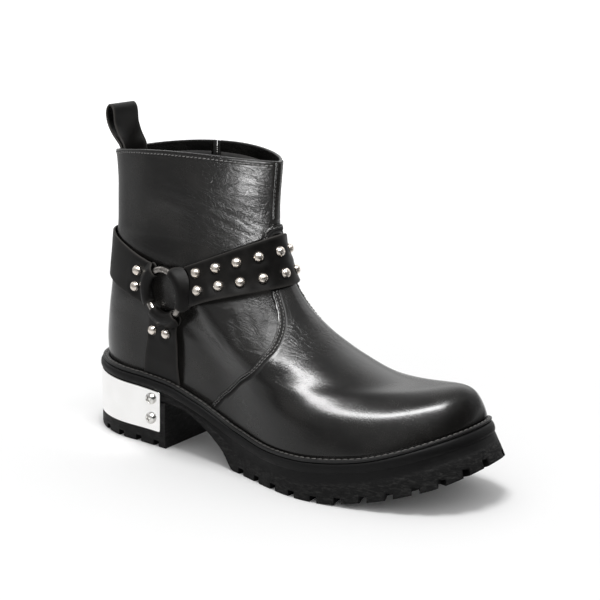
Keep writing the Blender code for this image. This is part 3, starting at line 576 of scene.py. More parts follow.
def polishedSteel(name):
    # mirror-polished plate with faint brush lines along it and a few hairline scratches
    f = Finish(name, Metallic=1.0)
    brush = f.noise(0.5, 3.0, 0.6, f.place((0.04, 0.04, 1.0)))
    blots = f.noise(16.0, 3.0, 0.5)
    scratches = f.noise(1.4, 2.0, 0.5, f.place((0.05, 0.05, 1.0)), 2.0).step(0.68, 0.74)
    rough = 0.15 + blots.step(0.3, 0.8) * 0.05 + scratches * 0.08 + brush * 0.05
    colour = f.blendColour(blots.step(0.3, 0.8), (0.86, 0.855, 0.845), (0.92, 0.915, 0.91))
    return f.feed(Base_Color=colour, Roughness=rough, Normal=f.bump(brush, 0.012, 0.35))


def plated(name, dull, bright, rough):
    # plated fittings: slight wear and tiny pits
    f = Finish(name, Metallic=1.0)
    wear = f.noise(2.6, 4.0, 0.6)
    pits = f.cells(0.9)
    colour = f.blendColour(wear.step(0.35, 0.7), dull, bright)
    return f.feed(
        Base_Color=colour, Roughness=rough + wear.step(0.4, 0.75) * 0.1, Normal=f.bump(pits, 0.02, 0.25)
    )


def sewingThread(name, low, high):
    # twisted waxed thread
    f = Finish(name, Specular_IOR_Level=0.5)
    twist = f.add("ShaderNodeTexWave", {"bands_direction": "DIAGONAL"}, {"Vector": f.place(), "Scale": 0.55})
    colour = f.blendColour(f.noise(3.0, 3.0, 0.5), low, high)
    return f.feed(Base_Color=colour, Roughness=0.44 + twist * 0.1, Normal=f.bump(twist, 0.08, 0.6))


def liningLeather(name, low, high):
    f = Finish(name, Specular_IOR_Level=0.35)
    nap = f.noise(0.6, 4.0, 0.65)
    clouds = f.noise(18.0, 4.0, 0.6)
    colour = f.blendColour(clouds.step(0.3, 0.75), low, high)
    return f.feed(Base_Color=colour, Roughness=0.62 + nap * 0.2, Normal=f.bump(nap, 0.12, 0.5))


def zipTape(name):
    # woven tape: two sets of ribs crossed
    f = Finish(name, Specular_IOR_Level=0.3)
    ribs = f.add("ShaderNodeTexWave", {"bands_direction": "Z"}, {"Vector": f.place(), "Scale": 0.5})
    cross = f.add("ShaderNodeTexWave", {"bands_direction": "X"}, {"Vector": f.place(), "Scale": 0.6})
    colour = f.blendColour(ribs * cross, grey(0.006), grey(0.018))
    return f.feed(Base_Color=colour, Roughness=0.7 + ribs * 0.1, Normal=f.bump(ribs * cross, 0.15, 0.7))


leather = glossLeather("gloss_leather")
harness = strapLeather("strap_leather")
rubber = soleRubber("sole_rubber")
weltRubber = weltFinish("welt_rubber")
steel = polishedSteel("polished_steel")
nickel = plated("nickel", (0.62, 0.56, 0.50), (0.80, 0.75, 0.69), 0.24)
# The ring's metal is far darker than the studs' nickel: painted shade, standing for the dark leather it
# mirrors under the straps
paintedShadeRingMetal = plated("ring_nickel_painted_shade", (0.16, 0.15, 0.14), (0.34, 0.32, 0.30), 0.22)
screwSteel = plated("screw_steel", (0.62, 0.61, 0.59), (0.82, 0.81, 0.79), 0.16)
zipMetal = plated("zip_metal", (0.46, 0.44, 0.41), (0.66, 0.64, 0.60), 0.22)
darkThread = sewingThread("dark_thread", grey(0.003), grey(0.008))
seamThread = sewingThread("seam_thread", grey(0.022), (0.062, 0.060, 0.058))
weltThread = sewingThread("welt_thread", (0.030, 0.029, 0.027), (0.085, 0.081, 0.076))
lining = liningLeather("lining", grey(0.011), (0.022, 0.021, 0.020))
insoleFinish = liningLeather("insole", (0.020, 0.019, 0.018), (0.035, 0.032, 0.030))
tape = zipTape("zip_tape")
print("finishes ready", len(bpy.data.materials))


# Threads: short capsules along a line on a surface, with a pitch, length, width, height and slant
stitch = {"rings": ((-1, 0.3), (-0.62, 0.85), (0, 1.0), (0.62, 0.85), (1, 0.3)), "sides": 6}


def stitchTemplate(length, width, height):
    # rings of a capsule along x, squashed to the thread's width and height
    turn = circle(stitch["sides"])
    along = np.array([ring[0] for ring in stitch["rings"]])[:, None]
    size = np.array([ring[1] for ring in stitch["rings"]])[:, None]
    points = np.stack(np.broadcast_arrays(
        along * length / 2, size * np.cos(turn) * width / 2, size * np.sin(turn) * height / 2
    ), -1)
    count = len(stitch["rings"])
    faces = [gridFaces(count, stitch["sides"], wrapV=True)]
    cap = np.arange(stitch["sides"])
    faces.append(np.stack([cap, cap[::-1] + (count - 1) * stitch["sides"]]))
    return points.reshape(-1, 3), faces


def stitches(line, normals, pitch, length, width, height, slant=0.0):
    # middles are spaced by pitch along the line; each capsule lies along it, turned by slant
    far = travelled(line)
    middles = np.arange(pitch / 2, far[-1], pitch)
    centre, normal, ahead, behind = (
        readAlong(field, far, np.clip(middles + off, 0, far[-1]))
        for field, off in ((line, 0), (normals, 0), (line, pitch / 4), (line, -pitch / 4))
    )
    normal = unit(normal)
    tangent = unit(ahead - behind)
    across = unit(np.cross(normal, tangent))
    tangent, across = rotated(tangent, across, slant)
    template, faces = stitchTemplate(length, width, height)
    return copies(template, faces, centre, tangent, across, normal)


# Vamp overlay: its edge is the seam in side view, from the welt to the top of the tongue
vampSpec = {
    "seam": (
        (116, 39.2), (121.9, 44.4), (131.3, 52.7), (143, 63.3), (155.5, 74.2), (164.3, 82.6), (168.2, 88),
        (169.2, 93.4), (168.6, 98.8), (166.9, 104.6), (161.5, 112.9), (153.5, 124.4), (143.2, 150),
        (142.6, 157), (144.0, 162.6), (146.4, 166.2), (149, 167),
    ),
    "bottom": weltRow, "tongue": 8.2, "top": 8.5, "thick": 1.2, "rim": 1.0, "even": (20, 60),
    "stitchGaps": (2.0, 4.4), "thread": (2.7, 2.0, 0.8, 0.6), "seat": 0.2, "groove": (0.40, 0.5),
    "dip": (0.15, 7.0, 2.5),
    "edge": (0, 0.08, 0.25, 0.5, 0.8, 1.2, 1.6, 2.0, 2.4, 2.8, 3.3, 3.9, 4.4, 4.9, 5.5, 6.5, 8.0),
}


def seamTurn(row):
    seam = np.array(vampSpec["seam"], float)
    _, along, rows = sidePoint(seam[:, 0], seam[:, 1])
    keep = np.concatenate([[True], np.diff(rows) > 1e-3])
    rows, along = rows[keep], along[keep]
    rows[-1], along[-1] = vampSpec["top"], 1.0
    # evened between the seam's lower end and the tongue, so that its bends run on
    fine = np.linspace(rows[0], rows[-1], 600)
    line = smooth(rows, along, fine)
    line = mix(line, spread(line, 0, 900), window(1.0, 1.6, 7.4, 8.0, fine))
    return np.interp(np.clip(row, rows[0], rows[-1]), fine, line)


# Creases of the leather, placed in side view: from, bend, to, width and depth in mm
shaftCreases = (
    ((94, 181), (120, 178), (143, 167), 2.4, 0.50),
    ((98, 186), (122, 184), (143, 174), 2.0, 0.42),
    ((100, 174), (121, 169), (141, 157), 2.6, 0.50),
    ((106, 191), (126, 189), (143, 181), 1.8, 0.34),
    ((80, 179), (100, 178), (118, 171), 2.4, 0.32),
    ((114, 196), (130, 195), (144, 188), 1.8, 0.24),
    ((108, 165), (124, 159), (138, 147), 2.6, 0.38),
    ((66, 183), (86, 183), (104, 178), 3.2, 0.26),
    ((119, 177), (131, 171), (142, 161), 1.5, 0.32),
    ((112, 181), (127, 176), (141, 170), 1.3, 0.26),
    ((60, 190), (80, 194), (104, 192), 4.0, 0.25),
    ((24, 118), (40, 122), (56, 118), 5.0, 0.25),
)
quarterCreases = (
    ((138, 108), (146, 100), (150, 90), 3.0, 0.35),
    ((146, 112), (155, 104), (158, 95), 2.4, 0.30),
    ((128, 100), (138, 92), (143, 83), 3.6, 0.25),
)
vampCreases = (
    ((176, 100), (186, 88), (196, 70), 7.0, 0.35),
    ((190, 92), (202, 78), (212, 62), 8.0, 0.35),
)


def creaseDepth(points, side, creases):
    # each crease is a quadratic arc in side view: a trough with a soft ridge on both flanks
    depth = np.zeros(points.shape[:-1])
    flat = points[..., (0, 2)]
    t = np.linspace(0, 1, 24)[:, None]
    for start, bend, end, width, deep in creases:
        arc = (1 - t) ** 2 * np.array(start) + 2 * t * (1 - t) * np.array(bend) + t**2 * np.array(end)
        far = np.full(depth.shape, 1e9)
        share = np.zeros(depth.shape)
        for k, spot in enumerate(arc):
            gap = np.hypot(flat[..., 0] - spot[0], flat[..., 1] - spot[1])
            closer = gap < far
            far, share = np.where(closer, gap, far), np.where(closer, t[k, 0], share)
        fade = np.sin(np.pi * np.clip(share, 0.03, 0.97)) ** 0.8
        q = far / width
        depth += deep * fade * ((1.0 - 1.6 * q * q) * np.exp(-q * q))
    return depth * side


def slackWaves(points, turn):
    # broad soft waves of an unlasted shaft: a few long sines, none near the welt
    x, z = points[..., 0], points[..., 2]
    rise = ease(95, 140, z)
    return rise * (
        0.55 * np.sin(z / 13.0 + 2.2 * np.sin(x / 31.0)) * np.sin(np.pi * turn * 3 + 0.6)
        + 0.35 * np.sin(x / 17.0 - z / 21.0)
    )


def shaftLift(turn, row, points):
    side = np.where((turn % 2) < 1, 1.0, 0.0)
    lift = -creaseDepth(points, side, shaftCreases) - creaseDepth(points, side, quarterCreases)
    inner = points.copy()
    inner[..., 2] += 4.0 * np.sin(points[..., 0] / 9.0)
    lift -= 0.8 * creaseDepth(inner, 1 - side, shaftCreases)
    front = np.abs((turn % 2) - 1)
    hill = bell(points[..., 2], upperSpec["bulgeZ"], upperSpec["bulgeHalf"])
    bulge = upperSpec["bulge"] * hill * window(0.07, 0.2, 0.42, 0.7, front)
    lift = lift + bulge + slackWaves(points, turn) * 0.5
    # under the vamp and just outside its edge the leather doesn't rise
    covered = (np.minimum(turn % 2, 2 - turn % 2) - seamTurn(row)) / turnPerMm(turn, row)
    flat = ease(-4.0, -0.8, covered) * (1 - ease(vampSpec["top"], vampSpec["top"] + 0.1, row))
    keep = window(weltRow, 2.5, 9.75, 9.95, row)
    return keep * (np.minimum(lift, 0) + np.maximum(lift, 0) * (1 - flat))


def creasedShare(points):
    # where the grain breaks: round the shaft's front, by the vamp seam and on the flexing instep
    x, z = points[..., 0], points[..., 2]
    shaft = ease(74, 120, x) * ease(140, 158, z) * (1 - ease(190, 206, z) * 0.3)
    quarter = np.exp(-(((x - 152) / 15) ** 2 + ((z - 103) / 13) ** 2))
    instep = 0.45 * np.exp(-(((x - 182) / 24) ** 2 + ((z - 92) / 16) ** 2))
    return np.clip(0.10 + 0.75 * shaft + 0.7 * quarter + instep, 0, 1)


# Upper: one hollow wall, slit for the zip
upperSpec = {"columns": 330, "rows": 128, "rimRows": 9, "zipTurn": 1.532, "slitHalf": 3.5, "zipBottom": 3.7,
             "stitchDrop": 2.3, "thread": (3.1, 2.4, 0.85, 0.6, 10.0), "groove": (0.35, 0.5), "rim": 1.1,
             "bulge": 1.3, "bulgeZ": 183, "bulgeHalf": 12}


def slitHalfTurn(row):
    # half the slit as a turn, closing to nothing in a round end at the bottom of the zip
    opening = np.sqrt(np.clip((row - upperSpec["zipBottom"]) / 0.12, 0, 1))
    return upperSpec["slitHalf"] * turnPerMm(upperSpec["zipTurn"], row) * opening


def makeUpper():
    rim = upperSpec["rim"] / rowHeight
    rows = np.concatenate([
        np.linspace(0, 9.78, upperSpec["rows"]), np.linspace(9.79, collarRow - rim, 16),
        collarRow - rim * np.cos(np.linspace(0, np.pi / 2, upperSpec["rimRows"]))[1:],
    ])
    u, row = net(np.linspace(0, 1, upperSpec["columns"]), rows)
    half = slitHalfTurn(row)
    turn = upperSpec["zipTurn"] + half + u * (2 - 2 * half)
    point, normal, _, _ = skinFrame(turn, row)
    below = (collarRow - row) * rowHeight
    deep, wide = upperSpec["groove"]
    lift = shaftLift(turn, row, point) - deep * bell(below, upperSpec["stitchDrop"], wide)
    wall = last["wall"] / 2
    swell = roundEdge(below, upperSpec["rim"])
    outer = point + normal * (lift - wall + wall * swell)[..., None]
    inner = point + normal * (-wall - wall * swell)[..., None]
    body, faces = slab(outer, inner)
    count = len(rows)
    closedRows = int(np.sum(rows <= upperSpec["zipBottom"]))
    size = outer.shape[0] * count
    # below the zip the two ends of the grid meet, so their end strips are left out
    strip = faces[2]
    ends = np.isin(strip[:, 0] % size // count, (0, outer.shape[0] - 1))
    low = (strip[:, 0] % size % count < closedRows) & (strip[:, 1] % size % count < closedRows)
    bothOnEnd = ends & np.isin(strip[:, 1] % size // count, (0, outer.shape[0] - 1)) & low
    sameColumn = strip[:, 0] // count == strip[:, 1] // count
    faces[2] = strip[~(bothOnEnd & sameColumn)]
    creased = np.concatenate([creasedShare(outer).ravel(), np.full(size, 0.2)])
    makePiece(
        "upper_leather", (body, faces), leather, "leather", ["upper"], values={"creased": creased},
        merge=0.002, sharp=50,
    )


makeUpper()
print("upper done")


liningSpec = {"rows": (1.45, 9.72), "slit": 1.25, "faces": (0.12, 0.62), "pucker": 0.12}


def makeLining():
    # thin sheet just inside the wall, from the insole to below the collar's fold
    u, row = net(np.linspace(0, 1, 180), np.linspace(*liningSpec["rows"], 90))
    half = slitHalfTurn(row) * liningSpec["slit"]
    turn = upperSpec["zipTurn"] + half + u * (2 - 2 * half)
    puckers = liningSpec["pucker"] * np.sin(row * 9 + 3 * np.sin(turn * 7)) * ease(6, 9, row)
    outer = skin(turn, row, -last["wall"] - liningSpec["faces"][0])
    inner = skin(turn, row, -last["wall"] - liningSpec["faces"][1] + puckers)
    makePiece("lining_sheet", slab(outer, inner), lining, "leather")


makeLining()


def vampGrid(rows, inside):
    # across each row: fixed steps in from both seams, then even steps between
    edge = np.array(vampSpec["edge"])
    start = seamTurn(rows)
    width = (2 - 2 * start) / turnPerMm(1.0, rows)
    scale = np.minimum(1.0, width / 30.0)[None]
    perMm = turnPerMm(np.minimum(start + 0.01, 1.0), rows)
    lead = start + edge[:, None] * scale * perMm
    t = np.linspace(0, 1, inside + 2)[1:-1, None]
    middle = mix(lead[-1], 2 - lead[-1], t)
    return np.concatenate([lead, middle, 2 - lead[::-1]])


def vampRows(low, high, step):
    # rows closer together at the round top of the tongue
    bottom, tongue, top = (vampSpec[key] for key in ("bottom", "tongue", "top"))
    return np.concatenate([np.linspace(bottom, tongue, low), np.linspace(tongue + step, top, high)])


def vampEdge():
    rows = vampRows(160, 60, 0.005)
    turn = seamTurn(rows)
    side = skinPoint(turn, rows)
    return np.concatenate([side, skinPoint(2 - turn, rows)[::-1]])


def makeVamp():
    rows = vampRows(128, 26, 0.01)
    turn = vampGrid(rows, 240)
    point, normal, _, _ = skinFrame(turn, rows)
    distance = nearest(point, vampEdge())
    lift = last["vampLift"] + vampSpec["thick"] * roundEdge(distance, vampSpec["rim"])
    deep, wide = vampSpec["groove"]
    for gap in vampSpec["stitchGaps"]:
        lift = lift - deep * bell(distance, gap, wide)
    deep, middle, wide = vampSpec["dip"]
    lift = lift - deep * bell(distance, middle, wide)
    side = np.where(turn < 1, 1.0, 0.7)
    lift = lift - creaseDepth(point, side, vampCreases) * ease(5, 14, distance)
    ripple = 0.14 * np.sin(point[..., 0] / 11 + point[..., 1] / 7) * np.sin(point[..., 2] / 9)
    lift = lift + ripple * ease(6, 20, distance) * (1 - ease(195, 222, point[..., 0]))
    # the spans between girth lines are evened out away from the seam, so that reflections run on
    even = point.copy()
    for axis in (0, 1):
        even = spread(even, axis, vampSpec["even"][axis])
    calm = (ease(8, 26, distance) * ease(1.0, 1.8, rows))[..., None]
    outer = mix(point, even, calm) + normal * lift[..., None]
    inner = point + normal * 0.06
    creased = np.clip(creasedShare(point) * ease(2, 10, distance) * 0.8, 0, 1)
    end = vampSpec["stitchGaps"][-1]
    seam = window(0.7, 1.3, end + 0.5, end + 1.5, distance)
    values = {"creased": bothFaces(creased), "seam": bothFaces(seam)}
    makePiece("vamp_overlay", slab(outer, inner), leather, "leather", ["vamp"], values=values, merge=0.002)
    edge = vampEdge()
    far = travelled(edge)
    edge = spread(readAlong(edge, far, np.arange(0.0, far[-1], 0.5)), 0, 12)
    facing = towards(gridNormals(outer), (len(outer) // 2, len(rows) // 2), upAxis)
    surface, facing = outer.reshape(-1, 3), facing.reshape(-1, 3)
    tree = kdtree.KDTree(len(surface))
    for k, spot in enumerate(surface):
        tree.insert(spot, k)
    tree.balance()

    def seated(line):
        near = np.array([tree.find(spot)[1] for spot in line])
        gap = np.einsum("ij,ij->i", line - surface[near], facing[near])
        return line - facing[near] * gap[:, None], facing[near]

    edgeSeat, edgeNormal = seated(edge)
    inward = unit(np.cross(edgeNormal, np.gradient(edgeSeat, axis=0)))
    inward = towards(inward, 300, point[len(turn) // 2, 40] - edge[300])
    threads = []
    for gap in vampSpec["stitchGaps"]:
        line, normals = seated(spread(edge + inward * gap, 0, 20)[6:-6])
        seat = line + normals * vampSpec["seat"]
        threads.append(stitches(seat, spread(normals, 0, 8), *vampSpec["thread"]))
    makePiece("vamp_threads", joined(*threads), seamThread, "leather")


makeVamp()
print("vamp done")


# Stays: narrow strips over the front and the back seam of the shaft
staySpec = {
    "front": {"node": "front_stay", "middle": 1.0, "half": 4.4, "rows": (8.62, 10.0), "steps": 60},
    "back": {"node": "back_stay", "middle": 0.0, "half": 4.4, "rows": (1.0, 10.0), "steps": 190},
    "thick": 1.0, "edge": 0.9, "stitchGap": 1.4, "thread": (3.0, 2.3, 0.7, 0.5), "groove": (0.25, 0.45),
}


def turnAcross(middle, w, rows):
    # turn that lies w mm along the girth line from its middle, for each row
    fine = np.linspace(-0.12, 0.12, 241)
    points = skinPoint(middle + fine[:, None], rows[None])
    steps = np.linalg.norm(np.diff(points, axis=0), axis=-1)
    far = np.concatenate([np.zeros((1, len(rows))), np.cumsum(steps, 0)])
    far = far - far[120]
    return middle + np.stack([np.interp(w, far[:, k], fine) for k in range(len(rows))], -1)


def makeStay(name):
    spec = staySpec[name]
    low, high = spec["rows"]
    rows = (low + high) / 2 + edged((high - low) / 2, 1.0 / rowHeight, 5, spec["steps"])
    across = edged(spec["half"], staySpec["edge"], 6, 17)
    w, row = net(across, rows)
    turn = turnAcross(spec["middle"], across, rows)
    point, normal, _, _ = skinFrame(turn, row)
    distance = np.minimum(spec["half"] - np.abs(w), np.minimum(row - low, high - row) * rowHeight)
    lift = last["fit"] * 0.5 + staySpec["thick"] * roundEdge(distance, staySpec["edge"])
    deep, wide = staySpec["groove"]
    lift -= deep * bell(spec["half"] - np.abs(w), staySpec["stitchGap"], wide)
    outer = point + normal * lift[..., None]
    inner = point + normal * 0.05
    makePiece(spec["node"] + "_strip", slab(outer, inner), leather, "leather", [spec["node"]])
    threads = []
    fine = np.linspace(low + 0.05, high - 0.05, 300)
    for way in (-1, 1):
        reach = np.array([way * (spec["half"] - staySpec["stitchGap"])])
        line, normals, _, _ = skinFrame(turnAcross(spec["middle"], reach, fine)[0], fine)
        seat = line + normals * (last["fit"] * 0.5 + staySpec["thick"] - 0.1)
        threads.append(stitches(seat, normals, *staySpec["thread"]))
    makePiece(spec["node"] + "_threads", joined(*threads), darkThread, "leather")


makeStay("front")
makeStay("back")


def makeCollarThreads():
    # one row of stitches under the folded collar, broken at the stays and the zip
    drop = upperSpec["stitchDrop"] / rowHeight
    threads = []
    for start, end in ((0.05, 0.935), (1.065, 1.47), (1.595, 1.95)):
        turn = np.linspace(start, end, 300)
        line, normals, _, _ = skinFrame(turn, collarRow - drop)
        threads.append(stitches(line - normals * 0.02, normals, *upperSpec["thread"]))
    makePiece("collar_threads", joined(*threads), seamThread, "leather")


makeCollarThreads()
print("stays and collar done")


# Harness: ring, three straps wrapped round it, domed studs
ringSpec = {"x": 81.5, "z": 115.0, "radius": 17.0, "wire": 2.4, "lift": 5.6}
strapSpec = {
    "thick": 1.6, "wrapThick": 1.1, "wrap": 2.7, "tail": 7.0, "ramp": 8.0, "tailLift": 2.4, "rampLift": 2.8,
    "edge": 0.75, "crown": 0.35, "dent": (0.5, 0.0, 4.6), "ridge": (0.16, 8.0, 2.6),
    "front": {
        "heading": 20.8, "ring": 12.4, "near": 13.2, "far": 18.7, "farTurn": 1.0, "endTurn": 1.455,
        "steps": 190, "lift": ((0, 2.8), (0.88, 2.8), (0.97, 1.0), (1, 1.0)),
    },
    "rear": {
        "heading": 166.9, "ring": 12.0, "near": 16.0, "far": 16.0, "farTurn": 0.0, "endTurn": -0.395,
        "steps": 150,
        "lift": ((0, 2.8), (0.2, 1.0), (0.32, 1.0), (0.42, 1.9), (0.56, 1.9), (0.66, 1.0), (1, 1.0)),
    },
    "down": {
        "heading": -90.0, "ring": 10.9, "back": (15.5, 24.0), "front": 10.5, "steps": 50,
        "lift": ((0, 2.8), (0.6, 2.8), (1, 1.0)),
    },
}


def headingAxes(strap):
    angle = math.radians(strap["heading"])
    return np.array([math.cos(angle), math.sin(angle)]), np.array([-math.sin(angle), math.cos(angle)])


def ringPlane(x):
    ends = ringSpec["x"] + ringSpec["radius"] * np.array((-1, 1))
    wall = sidePoint(ends, ringSpec["z"])[0][:, 1]
    lean = (wall[1] - wall[0]) / (2 * ringSpec["radius"])
    return wall.mean() - ringSpec["lift"] + lean * (x - ringSpec["x"]), lean


def strapRoot(strap, reach, w, near, height, lift, settle):
    # near the ring: reach from its centre and w across give the side view, the ring's plane and the
    # leather give the depth
    ahead, across = headingAxes(strap)
    radius = ringSpec["radius"]
    half = np.where(w < 0, near[0], near[1])
    atRing = reach * w * strap["ring"] / radius
    b = mix(atRing, w * half, ease(radius + strapSpec["wrap"], radius + strapSpec["ramp"], reach))
    a = np.sqrt(reach**2 - b**2)
    x = ringSpec["x"] + a * ahead[0] + b * across[0]
    z = ringSpec["z"] + a * ahead[1] + b * across[1]
    wall, turn, _ = sidePoint(x, z)
    y = mix(ringPlane(x)[0] - height, wall[..., 1] - lift, settle)
    return np.stack([x, y, z], -1), turn


def bandHalf(strap, turn):
    nearTurn = 0.5
    if strap["farTurn"] < nearTurn:
        return strap["far"]
    wider = ease(nearTurn, strap["farTurn"], turn)
    narrower = ease(strap["farTurn"], strap["endTurn"], turn)
    return mix(strap["near"], strap["far"], wider * (1 - narrower))


def bandRow(strap, turn, offset):
    _, across = headingAxes(strap)
    sign = np.sign(across[1])

    def height(row):
        point = skinPoint(turn, row)
        return sign * (across[0] * (point[..., 0] - ringSpec["x"])
                       + across[1] * (point[..., 2] - ringSpec["z"]) - offset)

    return solveRow(height, low=2.0)


def roundBand(strap, t, w, turn):
    passing = mix(turn, strap["endTurn"], t)
    row = bandRow(strap, passing, w * bandHalf(strap, passing))
    return skin(passing, row, readTable(strap["lift"], t))


def downBand(strap, t, w, rootZ):
    half = np.where(w < 0, mix(*strap["back"], t), strap["front"])
    x = ringSpec["x"] + w * half
    low = soleTop(x) + last["wall"] + 3 * last["fit"]
    z = mix(rootZ, low, t)
    wall, _, _ = sidePoint(x, z)
    return np.stack([x, wall[..., 1] - readTable(strap["lift"], t), z], -1)


def studSeats(names):
    # each dome's own solid gives its middle and its axis, whose spread is unlike the other two
    seats, axes = [], []
    for name in names:
        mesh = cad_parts[name].data
        co = np.empty(len(mesh.vertices) * 3, np.float32)
        mesh.vertices.foreach_get("co", co)
        co = np.unique((co.reshape(-1, 3) * 1000).round(3), axis=0) - shift
        middle = co.mean(0)
        sizes, ways = np.linalg.eigh(np.cov((co - middle).T))
        gaps = np.abs(sizes - np.median(sizes))
        axis = ways[:, gaps.argmax()]
        spine = np.array([min(middle[0], 110.0), centreLine(middle[0]), middle[2]])
        axis = axis * np.sign(axis @ (middle - spine))
        seats.append(middle + axis * (((co - middle) @ axis).min()))
        axes.append(axis)
    return np.array(seats), np.array(axes)


studNames = sorted(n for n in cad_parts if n.startswith("stud_") or n.startswith("rivet_"))
studs, studAxes = studSeats(studNames)


def makeStrap(name):
    spec = strapSpec[name]
    near = (spec["back"][0], spec["front"]) if name == "down" else (spec["near"], spec["near"])
    radius, wrapRadius = ringSpec["radius"], strapSpec["wrap"]
    tail, wrap, ramp = 8, 37, 18
    reach = np.concatenate([
        radius + np.linspace(strapSpec["tail"], strapSpec["tail"] / tail, tail),
        radius - wrapRadius * np.sin(np.linspace(np.pi, 0, wrap)),
        radius + np.linspace(strapSpec["ramp"] / ramp, strapSpec["ramp"], ramp),
    ])
    height = np.concatenate([
        np.full(tail, -wrapRadius), wrapRadius * np.cos(np.linspace(np.pi, 0, wrap)),
        np.full(ramp, wrapRadius),
    ])
    lift = np.where(np.arange(len(reach)) < tail + wrap // 2, strapSpec["tailLift"], strapSpec["rampLift"])
    settle = np.concatenate([
        ease(radius, radius + strapSpec["tail"], reach[:tail]), np.zeros(wrap),
        ease(radius + wrapRadius / 2, radius + strapSpec["ramp"], reach[tail + wrap:]),
    ])
    half = 15.0
    w = edged(half, strapSpec["edge"], 6, 19) / half
    k, ww = net(np.arange(len(reach)), w)
    root, turn = strapRoot(spec, reach[k], ww, near, height[k], lift[k], settle[k])
    t, wb = net(np.linspace(0, 1, spec["steps"])[1:], w)
    if name == "down":
        band = downBand(spec, t, wb, root[-1, :, 2])
    else:
        band = roundBand(spec, t, wb, turn[-1])
    sheet = np.concatenate([root, band])
    normal = towards(gridNormals(sheet), (-1, 9), sheet[-1, 9] - [80.0, 0.0, sheet[-1, 9, 2]])
    fullAt = ease(radius + 1.0, radius + strapSpec["ramp"] - 1.0, reach)
    thick = mix(strapSpec["wrapThick"], strapSpec["thick"], np.concatenate([fullAt, np.ones(len(band))])) / 2
    thick = thick[:, None] * np.ones(len(w))
    end = np.linalg.norm(sheet - sheet[-1:], axis=-1)
    start = np.linalg.norm(sheet - sheet[:1], axis=-1)
    swell = roundEdge((1 - np.abs(w)) * half, strapSpec["edge"])[None]
    swell = swell * roundEdge(np.minimum(end, start + 0.1) + 0.02, strapSpec["edge"])
    dents = np.zeros(sheet.shape[:-1])
    for seat in studs:
        gap = np.linalg.norm(sheet + normal * 2 * thick[..., None] - seat, axis=-1)
        for sign, key in ((1, "dent"), (-1, "ridge")):
            deep, away, wide = strapSpec[key]
            dents += sign * deep * bell(gap, away, wide)
    middle = sheet + normal * thick[..., None]
    crown = strapSpec["crown"] * (1 - w**2)[None] * ease(0, 30, end)
    outer = middle + normal * (thick * swell + (crown - dents) * swell)[..., None]
    inner = middle - normal * (thick * swell)[..., None]
    edge = np.broadcast_to((1 - ease(0.2, 1.1, (1 - np.abs(w)) * half))[None], sheet.shape[:-1])
    makePiece(
        name + "_harness_strap", slab(outer, inner), harness, "strap_leather", [name + "_strap"],
        values={"edge": bothFaces(edge)},
    )


for strapName in ("front", "rear", "down"):
    makeStrap(strapName)


def sideways(axes):
    first = unit(np.cross(axes, upAxis))
    return first, np.cross(axes, first)


def makeRing():
    # torus: a small circle carried round a large one in the ring's leaning plane
    middle, lean = ringPlane(ringSpec["x"])
    axis = unit(np.array([lean, -1.0, 0.0]))
    first, second = sideways(axis)
    a = circle(120)[:, None]
    b = circle(24)[None]
    out = (ringSpec["radius"] + ringSpec["wire"] * np.cos(b))[..., None]
    way = np.cos(a)[..., None] * first + np.sin(a)[..., None] * second
    centre = np.array([ringSpec["x"], middle, ringSpec["z"]])
    points = centre + out * way + (ringSpec["wire"] * np.sin(b))[..., None] * axis
    body = (points.reshape(-1, 3), [gridFaces(120, 24, True, True)])
    # the ring takes the darkened metal: painted shade in its colour
    makePiece("ring_torus", body, paintedShadeRingMetal, "nickel", ["ring"])


makeRing()


def turned(profile, sides):
    # a profile of radius and height turned about z; its ends are so thin that merging closes them
    radius, height = np.array(profile, float).T
    a = circle(sides)[:, None]
    points = np.stack(np.broadcast_arrays(radius * np.cos(a), radius * np.sin(a), height), -1)
    return points.reshape(-1, 3), [gridFaces(sides, len(profile), wrapU=True)]


# Studs: radius and height of the flange's corners, radius, rise and foot of the dome
studSpec = {
    "flange": ((0.01, -0.25), (3.5, -0.25), (3.62, 0.1), (3.5, 0.35)), "dome": (3.42, 2.5, 0.42),
    "tip": 0.01, "sides": 24,
}


def makeStuds():
    # domed nail head: a thin flange, then most of a half ellipsoid
    wide, tall, foot = studSpec["dome"]
    profile = list(studSpec["flange"])
    for a in np.linspace(0, np.pi / 2, 9):
        profile.append((wide * math.cos(a) + studSpec["tip"], foot + tall * math.sin(a)))
    template, faces = turned(profile, studSpec["sides"])
    first, second = sideways(studAxes)
    body = copies(template, faces, studs, first, second, studAxes)
    makePiece("domed_studs", body, nickel, "nickel", studNames, merge=0.03, sharp=60)


makeStuds()
print("harness done", len(studNames), "studs")


# Sole: lip, groove, sloping wall, rounded lower edge, notches and grooves of the tread
soleSpec = {
    "stations": 230, "notchPitch": 17.0, "notchWidth": 5.0, "notchHeight": 4.5, "notchDepth": 14.0,
    "heelNotchDepth": 10.0, "grooveWidth": 3.5, "grooveSpan": 44.0, "heelWall": 5.6, "plateSeat": 4.2,
    "notchMargin": 6.3, "sharp": 35,
    # fall below the top, margin outside the feather line at the heel and at the forefoot
    "lip": (
        (0.0, 1.0, 1.0), (0.0, 4.3, 4.1), (0.25, 5.1, 4.8), (0.8, 5.8, 5.2), (1.6, 6.2, 5.45),
        (2.8, 6.45, 5.65), (4.0, 6.45, 5.65), (5.0, 6.2, 5.5), (5.7, 5.75, 5.25), (6.2, 5.1, 4.95),
        (6.5, 4.5, 4.7), (6.8, 4.2, 4.6),
    ),
    # share of the wall's height, margin at the heel and at the forefoot
    "wall": (
        (0.06, 4.2, 4.75), (0.16, 4.2, 4.95), (0.28, 4.2, 5.15), (0.38, 4.2, 5.3), (0.41, 4.2, 5.45),
        (0.55, 4.2, 5.7), (0.7, 4.2, 5.9), (0.82, 4.2, 6.05), (0.92, 4.2, 6.2), (0.97, 4.1, 6.2),
        (0.99, 3.8, 6.0), (1.0, 3.2, 5.4),
    ),
}


